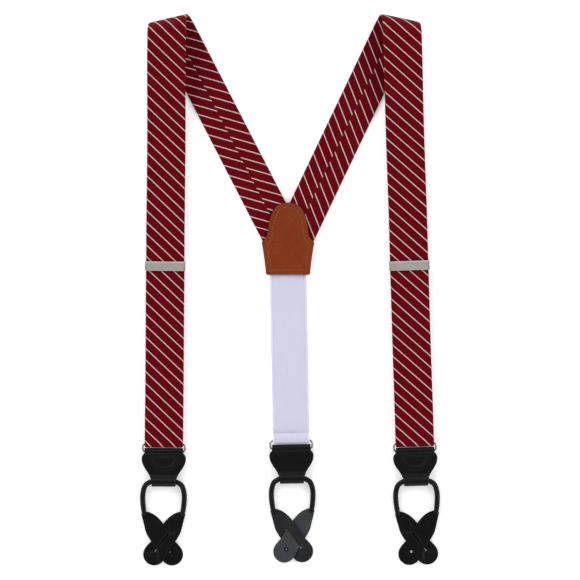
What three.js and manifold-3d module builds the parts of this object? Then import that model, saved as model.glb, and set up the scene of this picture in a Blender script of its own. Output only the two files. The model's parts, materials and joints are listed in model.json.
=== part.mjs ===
/**
 * Button suspenders, lying flat on a table as when they are put away.
 *
 * Millimetres, +Z up from the table, +Y from the buttonhole ends towards the shoulder folds.
 * Two silk straps run from the leather back patch up to a soft fold at each shoulder and down
 * the front, round a wire ring and back up behind themselves to an adjuster. An elastic web
 * runs down from the patch to a third ring. Below each ring hangs a leather keeper, and
 * through the keeper runs a rolled leather loop that ends in two interlocked buttonhole tabs.
 */
import * as THREE from 'three';
import Module from 'manifold-3d';
import { mergeVertices } from 'three/addons/utils/BufferGeometryUtils.js';
import { TessellateModifier } from 'three/addons/modifiers/TessellateModifier.js';

const wasm = await Module();
wasm.setup();

const DEG = Math.PI / 180;
const GAP = 0.3; // clearance between neighbouring pieces

// Strap: a flat silk sleeve with a canvas interlining inside.
const STRAP_W = 34.6;
const STRAP_T = 2.2;
const SILK_T = 0.5;
const STRAP_EDGE = 0.8; // how far the rolled edge tapers in
const CANVAS_T = 0.6;
const CANVAS_MARGIN = 1.4; // each side, narrower than the sleeve

// The two sides: where the fold's outermost line is, how far the front run leans outwards from
// straight down, and how far the rear run slants inwards from straight down.
const SIDES = [
  { name: 'left', sign: -1, fold: [-110.6, 242.6], lean: 0.45, slant: 27.2 },
  { name: 'right', sign: 1, fold: [97.6, 243.0], lean: 1.8, slant: 25.5 },
];
const FOLD_R = 10; // mid-surface radius of the soft shoulder fold
const FRONT_RUN = 371; // shoulder fold to ring bar, along the strap
const ADJUSTER_TO_RING = 160;
const TURN_LEG = 5; // straight stretch of the ring turn above the bar
const FOLD_FALL = 105; // length over which the front run comes down to the adjuster's level

// Adjuster: frame with a sewn bar and an anvil bar, a toothed cover lever and its pin.
const ADJ_H = 8.6;
const EAR_T = 0.6;
const SEWN_BAR = { y: -2.6, w: 2.0, z: 2.0, t: 1.0 };
const ANVIL = { y: 2.2, w: 3.2, t: 1.4 };
const LOOP_T = 1.2; // the strap's end, pressed thin where it is sewn round the bar
const LOOP_TAIL = 12;
const COVER_T = 0.8;
const TOOTH = { w: 1.2, pitch: 2.4, l: 1.0, h: 0.6, y: -2.4, count: 13 };
const PIN_R = 0.5;
const PIN_Y = 2.8;
const KNUCKLE_T = 0.5;

// Wire ring between web and leather keeper.
const WIRE_R = 1.0;
const RING_PLAY = 0.7; // each side, between a strap and the ring
const BAR_PITCH = 7.6;
const RING_CORNER = 2.2;

// Back patch: two leathers with the strap ends and the elastic between them.
const PATCH = { x: -3.2, top: 78.1, corner: 70.5, waist: 53, hip: 41.4, bottom: 13.1 };
const PATCH_HALF = { corner: 13.6, waist: 18.2, hip: 23.4, bottom: 19.8 };
const PATCH_T = 1.6;
const MITRE_Y = 35.3; // straps end here, the elastic starts just below

// Elastic web.
const ELASTIC_W = 33;
const RING_W = Math.max(STRAP_W, ELASTIC_W) + 2 * (2 * WIRE_R + RING_PLAY);
const ELASTIC_T = 1.4;
const ELASTIC_EDGE = 0.5;
const ELASTIC_RUN = 171; // from its top end to the ring bar
const ELASTIC_LEAN = 1.05;
const FLAP = 7;

// Leather keeper.
const KEEPER_T = 1.6;
const KEEPER_REACH = 26.85; // ring bar to the tunnel of the rolled loop
const KEEPER_PLAY = 0.6; // each side, between the keeper's fold and the ring
const KEEPER_HALF = { top: RING_W / 2 - 2 * WIRE_R - KEEPER_PLAY, lobe: 20, neck: 12.2, bottom: 10.8 };

// Rolled leather loop and its two buttonhole tabs.
const CORD_R = 2.4;
const LEG_X = 18.6; // widest reach of the legs' centre line
const TAB_T = 1.5;
const TAB_R = 10;
const TAB_END = { x: 8, drop: 65.35 }; // centre of a tab's round end below the tunnel
const TAB_TURN = 34.3; // slant of a tab from straight up
const TAB_L = 46;
const TAB_WAIST = 9.0; // half width where one tab passes through the other
const SLIT = { u: 0.6, from: 2.5, to: 27.5, open: 3.0, thin: 0.5, ease: 2.2, spare: 9 };
const HOLE_R = 1.8;
const TAB_FACET = 5.5; // longest edge of a bent tab's facets

// Heights that follow from the stack on the table.
const RETURN_Z = STRAP_T / 2;
const TURN_R = WIRE_R + GAP + STRAP_T / 2;
const RING_Z = RETURN_Z + TURN_R;
const FRONT_Z = RING_Z + TURN_R;
const FOLD_TOP_Z = STRAP_T / 2 + 2 * FOLD_R;
const PATCH_Z = PATCH_T + GAP + STRAP_T / 2; // mid-surface of what the patch holds
const ELASTIC_R = WIRE_R + GAP + ELASTIC_T / 2;
const CORD_Z = CORD_R + GAP + KEEPER_T; // the tunnel's leather rests on the table

const silk = new THREE.MeshStandardMaterial({ color: 0x6c1520, roughness: 0.55, metalness: 0 });
const canvas = new THREE.MeshStandardMaterial({ color: 0xd8d0bc, roughness: 0.9, metalness: 0 });
const webbing = new THREE.MeshStandardMaterial({ color: 0xd7d5ea, roughness: 0.8, metalness: 0 });
const tan = new THREE.MeshStandardMaterial({ color: 0x813b1d, roughness: 0.55, metalness: 0 });
const black = new THREE.MeshStandardMaterial({ color: 0x1c1c1c, roughness: 0.5, metalness: 0 });
const nickel = new THREE.MeshStandardMaterial({ color: 0xa8a29f, roughness: 0.35, metalness: 1 });

// ---- solids ----

const v3 = (x, y, z) => new THREE.Vector3(x, y, z);
const mix = THREE.MathUtils.lerp;
const smooth = THREE.MathUtils.smoothstep;

function toSolid(geometry) {
  const bare = geometry.index ? geometry.clone() : geometry;
  bare.deleteAttribute('normal');
  bare.deleteAttribute('uv');
  const merged = mergeVertices(bare, 1e-4);
  const mesh = new wasm.Mesh({
    numProp: 3,
    vertProperties: Float32Array.from(merged.attributes.position.array),
    triVerts: Uint32Array.from(merged.index.array),
  });
  return new wasm.Manifold(mesh);
}

function toGeometry(solid) {
  const mesh = solid.getMesh();
  const geometry = new THREE.BufferGeometry();
  geometry.setAttribute('position', new THREE.BufferAttribute(mesh.vertProperties, 3));
  geometry.setIndex(new THREE.BufferAttribute(mesh.triVerts, 1));
  geometry.computeVertexNormals();
  return geometry;
}

const join = (...pieces) => toGeometry(pieces.map(toSolid).reduce((a, b) => a.add(b)));
const cut = (body, ...tools) =>
  toGeometry(tools.map(toSolid).reduce((a, b) => a.subtract(b), toSolid(body)));
const keep = (body, ...tools) =>
  toGeometry(tools.map(toSolid).reduce((a, b) => a.intersect(b), toSolid(body)));

function box(x0, x1, y0, y1, z0, z1) {
  const geometry = new THREE.BoxGeometry(x1 - x0, y1 - y0, z1 - z0);
  return geometry.translate((x0 + x1) / 2, (y0 + y1) / 2, (z0 + z1) / 2);
}

/** A cylinder along X. */
function rod(radius, length, y, z, sides = 20) {
  const geometry = new THREE.CylinderGeometry(radius, radius, length, sides);
  return geometry.rotateZ(Math.PI / 2).translate(0, y, z);
}

/** Closed skin over rings of points; capped at both ends, or joined end to end. */
function skin(rings, endless = false) {
  const sides = rings[0].length;
  const positions = rings.flat().flatMap((p) => [p.x, p.y, p.z]);
  const index = [];
  const spans = endless ? rings.length : rings.length - 1;
  for (let i = 0; i < spans; i++) {
    const next = (i + 1) % rings.length;
    for (let j = 0; j < sides; j++) {
      const k = (j + 1) % sides;
      const [a, b, c, d] = [i * sides + j, i * sides + k, next * sides + k, next * sides + j];
      index.push(a, b, c, a, c, d);
    }
  }
  if (!endless) {
    const last = (rings.length - 1) * sides;
    for (let j = 1; j < sides - 1; j++) {
      index.push(0, j + 1, j, last, last + j, last + j + 1);
    }
  }
  const geometry = new THREE.BufferGeometry();
  geometry.setAttribute('position', new THREE.Float32BufferAttribute(positions, 3));
  geometry.setIndex(index);
  return geometry;
}

/** A band's cross-section at one station: flat, with edges that taper over `edge`. */
function bandRing(station, width, thickness, edge) {
  const half = width / 2;
  const rise = thickness / 2;
  const outline = [
    [-half, 0], [-half + edge, -rise], [half - edge, -rise],
    [half, 0], [half - edge, rise], [-half + edge, rise],
  ];
  return outline.map(([x, z]) =>
    station.at.clone().addScaledVector(station.across, x).addScaledVector(station.up, z));
}

/** A band through stations { at, across, up, thickness? }, its faces outwards either way. */
function band(stations, width, thickness, edge) {
  const [first, second] = stations;
  const ahead = second.at.clone().sub(first.at);
  const hand = Math.sign(first.across.clone().cross(first.up).dot(ahead));
  return skin(stations.map((s) => bandRing(s, hand * width, s.thickness ?? thickness, hand * edge)));
}

/** The same stations, lengthened a little at both ends, for a through-going hollow. */
function lengthened(stations) {
  const step = (from, to) => ({
    ...to, at: to.at.clone().add(to.at.clone().sub(from.at).setLength(1)),
  });
  const n = stations.length;
  return [step(stations[1], stations[0]), ...stations, step(stations[n - 2], stations[n - 1])];
}

function sleeve(stations) {
  const outer = band(stations, STRAP_W, STRAP_T, STRAP_EDGE);
  const inner = band(lengthened(stations), STRAP_W - 2 * STRAP_EDGE, STRAP_T - 2 * SILK_T, 0.4);
  return cut(outer, inner);
}

const lining = (stations) => band(stations, STRAP_W - 2 * CANVAS_MARGIN, CANVAS_T, 0.2);

/** Round wire or cord along points, as an endless loop. */
function wireLoop(points, radius, sides) {
  const count = points.length;
  const rings = points.map((p, i) => {
    const ahead = points[(i + 1) % count].clone().sub(points[(i - 1 + count) % count]);
    const side = v3(-ahead.y, ahead.x, 0).normalize();
    return [...Array(sides).keys()].map((j) => {
      const turn = (2 * Math.PI * j) / sides;
      return p.clone().addScaledVector(side, radius * Math.cos(turn))
        .add(v3(0, 0, radius * Math.sin(turn)));
    });
  });
  return skin(rings, true);
}

// ---- the assembly ----

const suspenders = new THREE.Group();
const laid = new THREE.Group(); // everything, as laid out on the table
suspenders.add(laid);

function add(parent, name, geometry, material) {
  const mesh = new THREE.Mesh(geometry, material);
  mesh.name = name;
  parent.add(mesh);
  return mesh;
}

// ---- straps ----

/** The plan of one strap: unit vectors in the table plane and where its runs start. */
function strapPlan(side) {
  const lean = side.lean * DEG;
  const slant = side.slant * DEG;
  const down = v3(side.sign * Math.sin(lean), -Math.cos(lean), 0);
  const back = v3(-side.sign * Math.sin(slant), -Math.cos(slant), 0);
  const along = back.clone().sub(down).normalize(); // the fold's line
  const out = v3(-along.y, along.x, 0).multiplyScalar(along.x > 0 ? 1 : -1);
  const wrap = Math.tan((lean + slant) / 2); // sideways drift for each step round the fold
  const apex = v3(side.fold[0], side.fold[1], 0);
  const reach = (wrap * Math.PI * FOLD_R) / 2;
  const start = (drift) =>
    apex.clone().addScaledVector(along, drift).addScaledVector(out, -FOLD_R);
  return { down, back, along, out, wrap, apex, frontStart: start(-reach), rearStart: start(reach) };
}

/** Cross vector of a straight run; near the fold its end is cut along the fold's line. */
function runAcross(plan, direction, distance) {
  const square = v3(-direction.y, direction.x, 0);
  if (square.dot(plan.along) < 0) square.negate();
  const bias = plan.along.clone().multiplyScalar(1 / plan.along.dot(square));
  return bias.lerp(square, smooth(distance, 0, 40));
}

/** Stations of a straight run along `direction` with its height given by `height(distance)`. */
function runStations(plan, start, direction, distances, height) {
  return distances.map((d) => {
    const across = runAcross(plan, direction, d);
    const slope = (height(d + 0.5) - height(d - 0.5));
    const ahead = direction.clone().add(v3(0, 0, slope)).normalize();
    const up = v3(0, 0, 1).addScaledVector(ahead, -ahead.z).normalize();
    return { at: start.clone().addScaledVector(direction, d).setZ(height(d)), across, up };
  });
}

const spread = (from, to, steps) =>
  [...Array(steps + 1).keys()].map((i) => mix(from, to, i / steps));

function rearHeight(d, length) {
  return mix(STRAP_T / 2, PATCH_Z, smooth(d, length - 80, length - 35));
}

function frontHeight(d) {
  return mix(FOLD_TOP_Z, FRONT_Z, smooth(d, 0, FOLD_FALL));
}

/** Stations round the shoulder fold, from the top layer to the bottom one. */
function foldStations(plan, steps) {
  const trim = GAP / FOLD_R;
  const square = plan.along.clone();
  return spread(trim, Math.PI - trim, steps).map((turn) => {
    const drift = plan.wrap * FOLD_R * (turn - Math.PI / 2);
    const up = plan.out.clone().multiplyScalar(Math.sin(turn)).add(v3(0, 0, Math.cos(turn)));
    const at = plan.apex.clone().addScaledVector(plan.along, drift)
      .addScaledVector(plan.out, -FOLD_R).setZ(STRAP_T / 2 + FOLD_R)
      .addScaledVector(up, FOLD_R);
    const stretch = Math.sqrt(1 + plan.wrap * plan.wrap);
    return { at, across: square.clone().multiplyScalar(stretch), up };
  });
}

function addStrap(side) {
  const plan = strapPlan(side);
  const name = side.name;

  const toPatch = Math.hypot(plan.rearStart.x - PATCH.x, plan.rearStart.y - MITRE_Y) + STRAP_W;
  const rearLength = toPatch - STRAP_W;
  const rear = runStations(plan, plan.rearStart, plan.back,
    [0, 20, 40, ...spread(rearLength - 90, rearLength - 30, 6), toPatch],
    (d) => rearHeight(d, rearLength));
  const near = side.sign < 0
    ? box(-400, PATCH.x - GAP / 2, MITRE_Y, 400, -20, 40)
    : box(PATCH.x + GAP / 2, 400, MITRE_Y, 400, -20, 40);
  add(laid, `${name}_rear_run`, keep(sleeve(rear), near), silk);
  add(laid, `${name}_rear_lining`, keep(lining(rear), near), canvas);

  const fold = foldStations(plan, 12);
  add(laid, `${name}_shoulder_turn`, sleeve(fold), silk);
  add(laid, `${name}_shoulder_lining`, lining(fold), canvas);

  const front = runStations(plan, plan.frontStart, plan.down,
    [...spread(0, FOLD_FALL, 10), FRONT_RUN - TURN_LEG], frontHeight);
  add(laid, `${name}_front_run`, sleeve(front), silk);
  add(laid, `${name}_front_lining`, lining(front), canvas);

  const ringAt = plan.frontStart.clone().addScaledVector(plan.down, FRONT_RUN);
  const end = new THREE.Group();
  end.position.set(ringAt.x, ringAt.y, 0);
  end.rotation.z = side.sign * side.lean * DEG;
  laid.add(end);
  addTurn(end, name);
  addAdjuster(end, name);
  addLeatherEnd(end, name, { threaded: side.sign, flipped: false });
}

/** Stations in the YZ plane, from [y, z, tilt of the upward side, thickness] rows. */
function sideStations(rows) {
  return rows.map(([y, z, tilt, thickness]) => ({
    at: v3(0, y, z),
    across: v3(1, 0, 0),
    up: v3(0, Math.sin(tilt), Math.cos(tilt)),
    thickness,
  }));
}

/** The strap's U-turn round the ring's upper bar, pressed flat and sewn through. */
function addTurn(end, name) {
  const leg = TURN_LEG - GAP;
  const rows = [[leg, FRONT_Z, 0]];
  for (const turn of spread(0, Math.PI, 10)) {
    rows.push([-TURN_R * Math.sin(turn), RING_Z + TURN_R * Math.cos(turn), -turn]);
  }
  rows.push([leg, RETURN_Z, -Math.PI]);
  add(end, `${name}_ring_turn`, band(sideStations(rows), STRAP_W, STRAP_T, STRAP_EDGE), silk);
}

function addAdjuster(end, name) {
  const at = ADJUSTER_TO_RING;
  const { y: barY, w: barW, z: barZ, t: barT } = SEWN_BAR;
  const inside = STRAP_W / 2 + GAP;
  const top = FRONT_Z + STRAP_T / 2 + GAP; // underside of the teeth
  const knuckleR = PIN_R + GAP + KNUCKLE_T;
  const pinZ = top + knuckleR;

  const loopR = barT / 2 + GAP + LOOP_T / 2;
  const loopY = barY + barW / 2;
  const rows = [
    [TURN_LEG, RETURN_Z, 0, STRAP_T],
    [at - 30, RETURN_Z, 0, STRAP_T],
    [at - 16, LOOP_T / 2, 0, LOOP_T],
    [at + loopY - 1, barZ - loopR, 0, LOOP_T],
  ];
  for (const turn of spread(0, Math.PI, 8)) {
    rows.push([
      at + loopY + loopR * Math.sin(turn), barZ - loopR * Math.cos(turn), -turn, LOOP_T,
    ]);
  }
  rows.push([at - LOOP_TAIL + 4, barZ + loopR, -Math.PI, LOOP_T]);
  rows.push([at - LOOP_TAIL, LOOP_T * 1.5 + 2 * GAP, -Math.PI, LOOP_T]);
  add(end, `${name}_return_run`, band(sideStations(rows), STRAP_W, STRAP_T, 0.5), silk);

  const adjuster = new THREE.Group();
  adjuster.position.y = at;
  end.add(adjuster);

  const earTop = pinZ + knuckleR;
  const ear = (x) => box(x, x + EAR_T, -ADJ_H / 2, ADJ_H / 2, barZ - barT / 2, earTop);
  const reach = inside + EAR_T;
  const anvilTop = FRONT_Z - STRAP_T / 2 - GAP;
  const frame = join(
    ear(-reach), ear(inside),
    box(-reach, reach, barY - barW / 2, barY + barW / 2, barZ - barT / 2, barZ + barT / 2),
    box(-reach, reach, ANVIL.y - ANVIL.w / 2, ANVIL.y + ANVIL.w / 2, anvilTop - ANVIL.t, anvilTop),
  );
  const bore = rod(PIN_R + GAP, 3 * STRAP_W, PIN_Y, pinZ, 16);
  add(adjuster, `${name}_adjuster_frame`, cut(frame, bore), nickel);
  add(adjuster, `${name}_adjuster_pin`, rod(PIN_R, 2 * reach, PIN_Y, pinZ, 12), nickel);

  const plateZ = top + TOOTH.h;
  const half = inside - GAP;
  const teeth = [...Array(TOOTH.count).keys()].map((i) => {
    const x = (i - (TOOTH.count - 1) / 2) * TOOTH.pitch;
    const y = TOOTH.y;
    return box(x - TOOTH.w / 2, x + TOOTH.w / 2, y - TOOTH.l / 2, y + TOOTH.l / 2, top, plateZ + 0.1);
  });
  const plate = box(-half, half, -ADJ_H / 2, PIN_Y, plateZ, plateZ + COVER_T);
  const cover = join(plate, rod(knuckleR, 2 * half, PIN_Y, pinZ), ...teeth);
  add(adjuster, `${name}_adjuster_cover`, cut(cover, bore), nickel);
}

// ---- ring, keeper and leather loop ----

function addRing(end, name) {
  const half = RING_W / 2 - WIRE_R;
  const points = [];
  const corners = [
    [half, 0, 0], [-half, 0, 90], [-half, -BAR_PITCH, 180], [half, -BAR_PITCH, 270],
  ];
  for (const [x, y, from] of corners) {
    const cx = x - Math.sign(x) * RING_CORNER;
    const cy = y + (y < 0 ? RING_CORNER : -RING_CORNER);
    for (const turn of spread(from, from + 90, 3)) {
      points.push(v3(cx + RING_CORNER * Math.cos(turn * DEG), cy + RING_CORNER * Math.sin(turn * DEG),
        RING_Z));
    }
  }
  add(end, `${name}_ring`, wireLoop(points, WIRE_R, 8), nickel);
}

/** One strip of leather folded round the ring's lower bar and round the rolled loop. */
function addKeeper(end, name) {
  const topR = WIRE_R + GAP + KEEPER_T;
  const cordR = CORD_R + GAP + KEEPER_T;
  const tunnelY = -BAR_PITCH - KEEPER_REACH;
  const wide = RING_W * 2;
  const tilt = Math.atan2(CORD_Z - RING_Z, KEEPER_REACH);
  const slab = new THREE.BoxGeometry(wide, Math.hypot(KEEPER_REACH, CORD_Z - RING_Z), 2 * KEEPER_T);
  slab.rotateX(-tilt).translate(0, (tunnelY - BAR_PITCH) / 2, (CORD_Z + RING_Z) / 2);
  const folded = cut(
    join(rod(topR, wide, -BAR_PITCH, RING_Z, 20), slab, rod(cordR, wide, tunnelY, CORD_Z, 24)),
    rod(WIRE_R + GAP, wide + 2, -BAR_PITCH, RING_Z, 16),
    rod(CORD_R + GAP, wide + 2, tunnelY, CORD_Z, 20),
  );

  const { top, lobe, neck, bottom } = KEEPER_HALF;
  const ledge = -BAR_PITCH - WIRE_R - 2 * GAP;
  const outline = new THREE.Shape();
  outline.moveTo(0, -BAR_PITCH + topR + 1);
  outline.lineTo(top - 1.5, -BAR_PITCH + topR + 1);
  outline.lineTo(top, -BAR_PITCH + topR - 1.5);
  outline.lineTo(top, ledge);
  outline.quadraticCurveTo(lobe - 0.3, ledge - 0.6, lobe, ledge - 4);
  outline.bezierCurveTo(lobe, ledge - 10.5, neck + 2.2, ledge - 13, neck, ledge - 20);
  outline.lineTo(bottom, tunnelY - cordR - 1);
  outline.lineTo(0, tunnelY - cordR - 1);
  const points = outline.getPoints(8);
  const mirrored = points.slice(1, -1).reverse().map((p) => new THREE.Vector2(-p.x, p.y));
  const blank = new THREE.ExtrudeGeometry(new THREE.Shape([...points, ...mirrored]),
    { depth: 20, bevelEnabled: false });
  add(end, `${name}_keeper`, keep(folded, blank.translate(0, 0, -5)), black);
}

/** Outline of a tab with its buttonhole, u across and v up from the centre of the round end. */
function tabShape(slitOpen) {
  const shape = new THREE.Shape();
  shape.moveTo(2.6, TAB_L);
  shape.quadraticCurveTo(4.6, 40, 8.0, 31);
  shape.quadraticCurveTo(TAB_WAIST + 0.2, 27, TAB_WAIST, 20);
  shape.lineTo(TAB_WAIST, 8);
  shape.quadraticCurveTo(TAB_R, 4, TAB_R, 0);
  shape.absarc(0, 0, TAB_R, 0, -Math.PI, true);
  shape.quadraticCurveTo(-TAB_R, 4, -TAB_WAIST, 8);
  shape.lineTo(-TAB_WAIST, 20);
  shape.quadraticCurveTo(-8.2, 27, -6.2, 32);
  shape.quadraticCurveTo(-4.0, 38, -2.6, TAB_L);
  shape.closePath();
  const wide = slitOpen ? SLIT.open : SLIT.thin;
  const slit = new THREE.Path();
  slit.moveTo(SLIT.u, SLIT.to);
  slit.lineTo(SLIT.u - wide, SLIT.to - wide);
  slit.absarc(SLIT.u - wide / 2, SLIT.from + HOLE_R / 2, HOLE_R, 0.65 * Math.PI, 2.35 * Math.PI);
  slit.closePath();
  shape.holes.push(slit);
  return shape;
}

function flipFaces(geometry) {
  const source = geometry.index ? geometry.toNonIndexed() : geometry;
  const position = source.attributes.position;
  for (let i = 0; i < position.count; i += 3) {
    const a = [position.getX(i), position.getY(i), position.getZ(i)];
    position.setXYZ(i, position.getX(i + 1), position.getY(i + 1), position.getZ(i + 1));
    position.setXYZ(i + 1, ...a);
  }
}

/**
 * One flat tab, bent to the height the crossing gives it. The tab that is threaded lies high
 * before the slit and low after it; the slit's two lips lie low and high for it.
 */
function tabGeometry(leg, isThreaded, options) {
  const flat = new THREE.ExtrudeGeometry(tabShape(!isThreaded),
    { depth: TAB_T, bevelEnabled: false, curveSegments: 5 });
  flat.scale(leg, 1, 1);
  flat.rotateZ(-leg * TAB_TURN * DEG);
  flat.translate(-leg * TAB_END.x, 0, 0);
  if (leg < 0) flipFaces(flat); // the mirror turned it inside out
  const fine = new TessellateModifier(TAB_FACET, 8).modify(flat);
  const step = TAB_T + GAP;
  const position = fine.attributes.position;
  const slitLeg = -options.threaded; // the leg whose tab is passed through
  for (let i = 0; i < position.count; i++) {
    const x = (position.getX(i) + slitLeg * TAB_END.x) * slitLeg;
    const y = position.getY(i);
    const u = x * Math.cos(TAB_TURN * DEG) - y * Math.sin(TAB_TURN * DEG) - SLIT.u;
    const v = x * Math.sin(TAB_TURN * DEG) + y * Math.cos(TAB_TURN * DEG);
    const spare = SLIT.spare * smooth(Math.abs(u), 0.5, 6);
    const window = smooth(v + spare, SLIT.from, SLIT.from + SLIT.ease)
      * (1 - smooth(v - spare, SLIT.to - SLIT.ease, SLIT.to));
    const lips = 0.5 + 0.5 * window * (u > -SLIT.open / 2 ? 1 : -1);
    const passing = 1 - smooth(u, -SLIT.open, 0);
    const share = isThreaded ? passing : lips;
    const height = step * (options.flipped ? 1 - share : share);
    position.setZ(i, position.getZ(i) + height);
  }
  return fine;
}

function addLoop(end, name, options) {
  const tunnelY = -BAR_PITCH - KEEPER_REACH;
  const half = (side) => [
    v3(side * 9, 0, CORD_Z), v3(side * 12.5, -0.4, CORD_Z), v3(side * 16.6, -3.6, CORD_Z - 0.5),
    v3(side * LEG_X, -11, CORD_Z - 1.3), v3(side * (LEG_X - 0.2), -20, CORD_R + 0.2),
    v3(side * (LEG_X - 1.6), -30.5, CORD_R + 0.1),
  ];
  const route = new THREE.CatmullRomCurve3([...half(-1).reverse(), ...half(1)]);
  const section = new THREE.Shape();
  section.absarc(0, 0, CORD_R, 0, 2 * Math.PI);
  const cord = new THREE.ExtrudeGeometry(new THREE.Shape(section.getSpacedPoints(8).slice(0, 8)),
    { steps: 30, extrudePath: route, bevelEnabled: false });
  const tabs = [-1, 1].map((leg) =>
    tabGeometry(leg, leg === options.threaded, options).translate(0, -TAB_END.drop, 0));
  add(end, `${name}_leather_loop`, join(cord, ...tabs).translate(0, tunnelY, 0), black);
}

function addLeatherEnd(end, name, options) {
  addRing(end, name);
  addKeeper(end, name);
  addLoop(end, name, options);
}

// ---- back patch and elastic ----

function patchShape() {
  const { x, top, corner, waist, hip, bottom } = PATCH;
  const half = PATCH_HALF;
  const outline = new THREE.Shape();
  outline.moveTo(0, top);
  outline.quadraticCurveTo(half.corner - 3, top - 0.8, half.corner, corner);
  outline.quadraticCurveTo(half.waist - 1, corner - 6, half.waist, waist);
  outline.quadraticCurveTo(half.waist + 0.6, hip + 4, half.hip - 0.8, hip + 2.4);
  outline.quadraticCurveTo(half.hip + 0.3, hip + 1.4, half.hip, hip - 1);
  outline.quadraticCurveTo(half.bottom + 0.8, (hip + bottom) / 2, half.bottom, bottom);
  outline.lineTo(0, bottom);
  const points = outline.getPoints(6);
  const mirrored = points.slice(1, -1).reverse().map((p) => new THREE.Vector2(-p.x, p.y));
  return new THREE.Shape([...points, ...mirrored].map((p) => new THREE.Vector2(p.x + x, p.y)));
}

function addBack() {
  const leather = () => new THREE.ExtrudeGeometry(patchShape(),
    { depth: PATCH_T, bevelEnabled: false });
  add(laid, 'patch_back', leather(), tan);
  const frontZ = PATCH_T + 2 * GAP + STRAP_T;
  add(laid, 'patch_front', leather().translate(0, 0, frontZ), tan);

  const end = new THREE.Group();
  const topAt = v3(PATCH.x - 0.3, MITRE_Y - 2 * GAP, 0);
  end.rotation.z = ELASTIC_LEAN * DEG;
  end.position.copy(v3(0, -ELASTIC_RUN, 0).applyAxisAngle(v3(0, 0, 1), ELASTIC_LEAN * DEG).add(topAt));
  laid.add(end);

  const low = RING_Z - ELASTIC_R;
  const patchEnd = ELASTIC_RUN - (MITRE_Y - PATCH.bottom);
  const rows = [[ELASTIC_RUN, PATCH_Z, 0], [patchEnd - 2, PATCH_Z, 0]];
  for (const share of spread(0.25, 1, 3)) {
    rows.push([patchEnd - 2 - 40 * share, mix(PATCH_Z, low, smooth(share, 0, 1)), 0]);
  }
  for (const turn of spread(0, Math.PI, 10)) {
    rows.push([-ELASTIC_R * Math.sin(turn), RING_Z - ELASTIC_R * Math.cos(turn), turn]);
  }
  rows.push([FLAP * 0.35, RING_Z + ELASTIC_R, Math.PI]);
  rows.push([FLAP, low + ELASTIC_T + 2 * GAP, Math.PI]);
  add(end, 'elastic', band(sideStations(rows), ELASTIC_W, ELASTIC_T, ELASTIC_EDGE), webbing);
  addLeatherEnd(end, 'rear', { threaded: 1, flipped: true });
}

addBack();
SIDES.forEach(addStrap);

// The origin is on the table, under the middle of the outline.
const middle = new THREE.Box3().setFromObject(laid, true).getCenter(v3(0, 0, 0));
laid.position.set(-middle.x, -middle.y, 0);

export default suspenders;
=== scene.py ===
"""Button suspenders laid flat: striped silk straps, tan back patch, elastic and leather ends."""
import json

import bmesh
import bpy
import numpy as np
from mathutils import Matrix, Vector
from mathutils.geometry import delaunay_2d_cdt


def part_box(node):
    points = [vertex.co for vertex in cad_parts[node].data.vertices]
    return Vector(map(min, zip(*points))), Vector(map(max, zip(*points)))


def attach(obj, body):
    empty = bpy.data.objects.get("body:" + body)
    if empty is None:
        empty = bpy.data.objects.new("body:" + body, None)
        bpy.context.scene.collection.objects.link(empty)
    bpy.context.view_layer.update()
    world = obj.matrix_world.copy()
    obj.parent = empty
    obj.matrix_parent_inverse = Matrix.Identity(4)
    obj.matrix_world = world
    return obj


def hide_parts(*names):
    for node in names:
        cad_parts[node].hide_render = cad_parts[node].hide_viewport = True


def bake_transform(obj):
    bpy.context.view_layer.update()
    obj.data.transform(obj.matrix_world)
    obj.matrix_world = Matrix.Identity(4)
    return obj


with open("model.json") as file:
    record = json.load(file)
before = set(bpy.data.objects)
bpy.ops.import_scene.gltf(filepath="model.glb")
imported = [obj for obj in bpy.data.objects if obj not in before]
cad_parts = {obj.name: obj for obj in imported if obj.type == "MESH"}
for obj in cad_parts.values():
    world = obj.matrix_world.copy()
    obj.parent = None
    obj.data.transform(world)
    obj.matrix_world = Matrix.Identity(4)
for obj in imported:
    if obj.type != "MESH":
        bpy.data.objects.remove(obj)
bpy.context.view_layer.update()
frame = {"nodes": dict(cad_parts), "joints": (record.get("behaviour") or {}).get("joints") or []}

# Everything below is worked out in millimetres and put into the meshes in metres.
MM = 0.001
Z = np.array([0.0, 0.0, 1.0])
JOINT = {joint["name"]: joint for joint in frame["joints"]}

STRAP_HALF, STRAP_RISE, SILK_T, WALL_IN = 17.3, 1.1, 0.5, 0.55
CANVAS_HALF, CANVAS_RISE = 15.7, 0.3
FOLD_R, FRONT_RUN, FOLD_FALL, TURN_LEG = 10.0, 371.0, 105.0, 5.0
RING_Z, TURN_R, CORD_Z = 3.5, 2.4, 4.3
FRONT_Z, FOLD_TOP_Z, RETURN_Z, PATCH_Z = 5.9, 21.1, 1.1, 3.0
BAR_PITCH, KEEPER_REACH = 7.6, 26.85
ADJUSTER_Y = 160.0
PATCH_T, STITCH_INSET = 1.6, 4.4
ELASTIC_HALF, ELASTIC_RISE, ELASTIC_RUN = 16.5, 0.7, 171.0
COVER_HALF, TOOTH_COUNT, TOOTH_PITCH = 17.3, 13, 2.4
LOOP_GIRTH = 2.4
STRIPE_PERIOD, STRIPE_SLOPE = 10.35, 0.966
STRIPE_START = {"left": 3.9, "right": -3.2}  # where the first stripe falls along each strap


# ---- small helpers ----

def smooth(x, low, high):
    """Smoothstep: 3t^2 - 2t^3 of how far x has gone from low to high."""
    t = np.clip((np.asarray(x, float) - low) / (high - low), 0, 1)
    return t * t * (3 - 2 * t)


def unit(v):
    """Each vector over its length."""
    return v / np.linalg.norm(v, axis=-1, keepdims=True)


def joint_place(name):
    """Where a joint sits, in millimetres."""
    return np.array(JOINT[name]["pos_m"]) / MM


def joint_axis(name):
    return unit(np.array(JOINT[name]["axis"]))


def end_frame(joint):
    """Origin, across and upward of one end: the ring joint, its axis and the way up the strap."""
    across = joint_axis(joint)
    return joint_place(joint), across, np.array([-across[1], across[0], 0])


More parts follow.
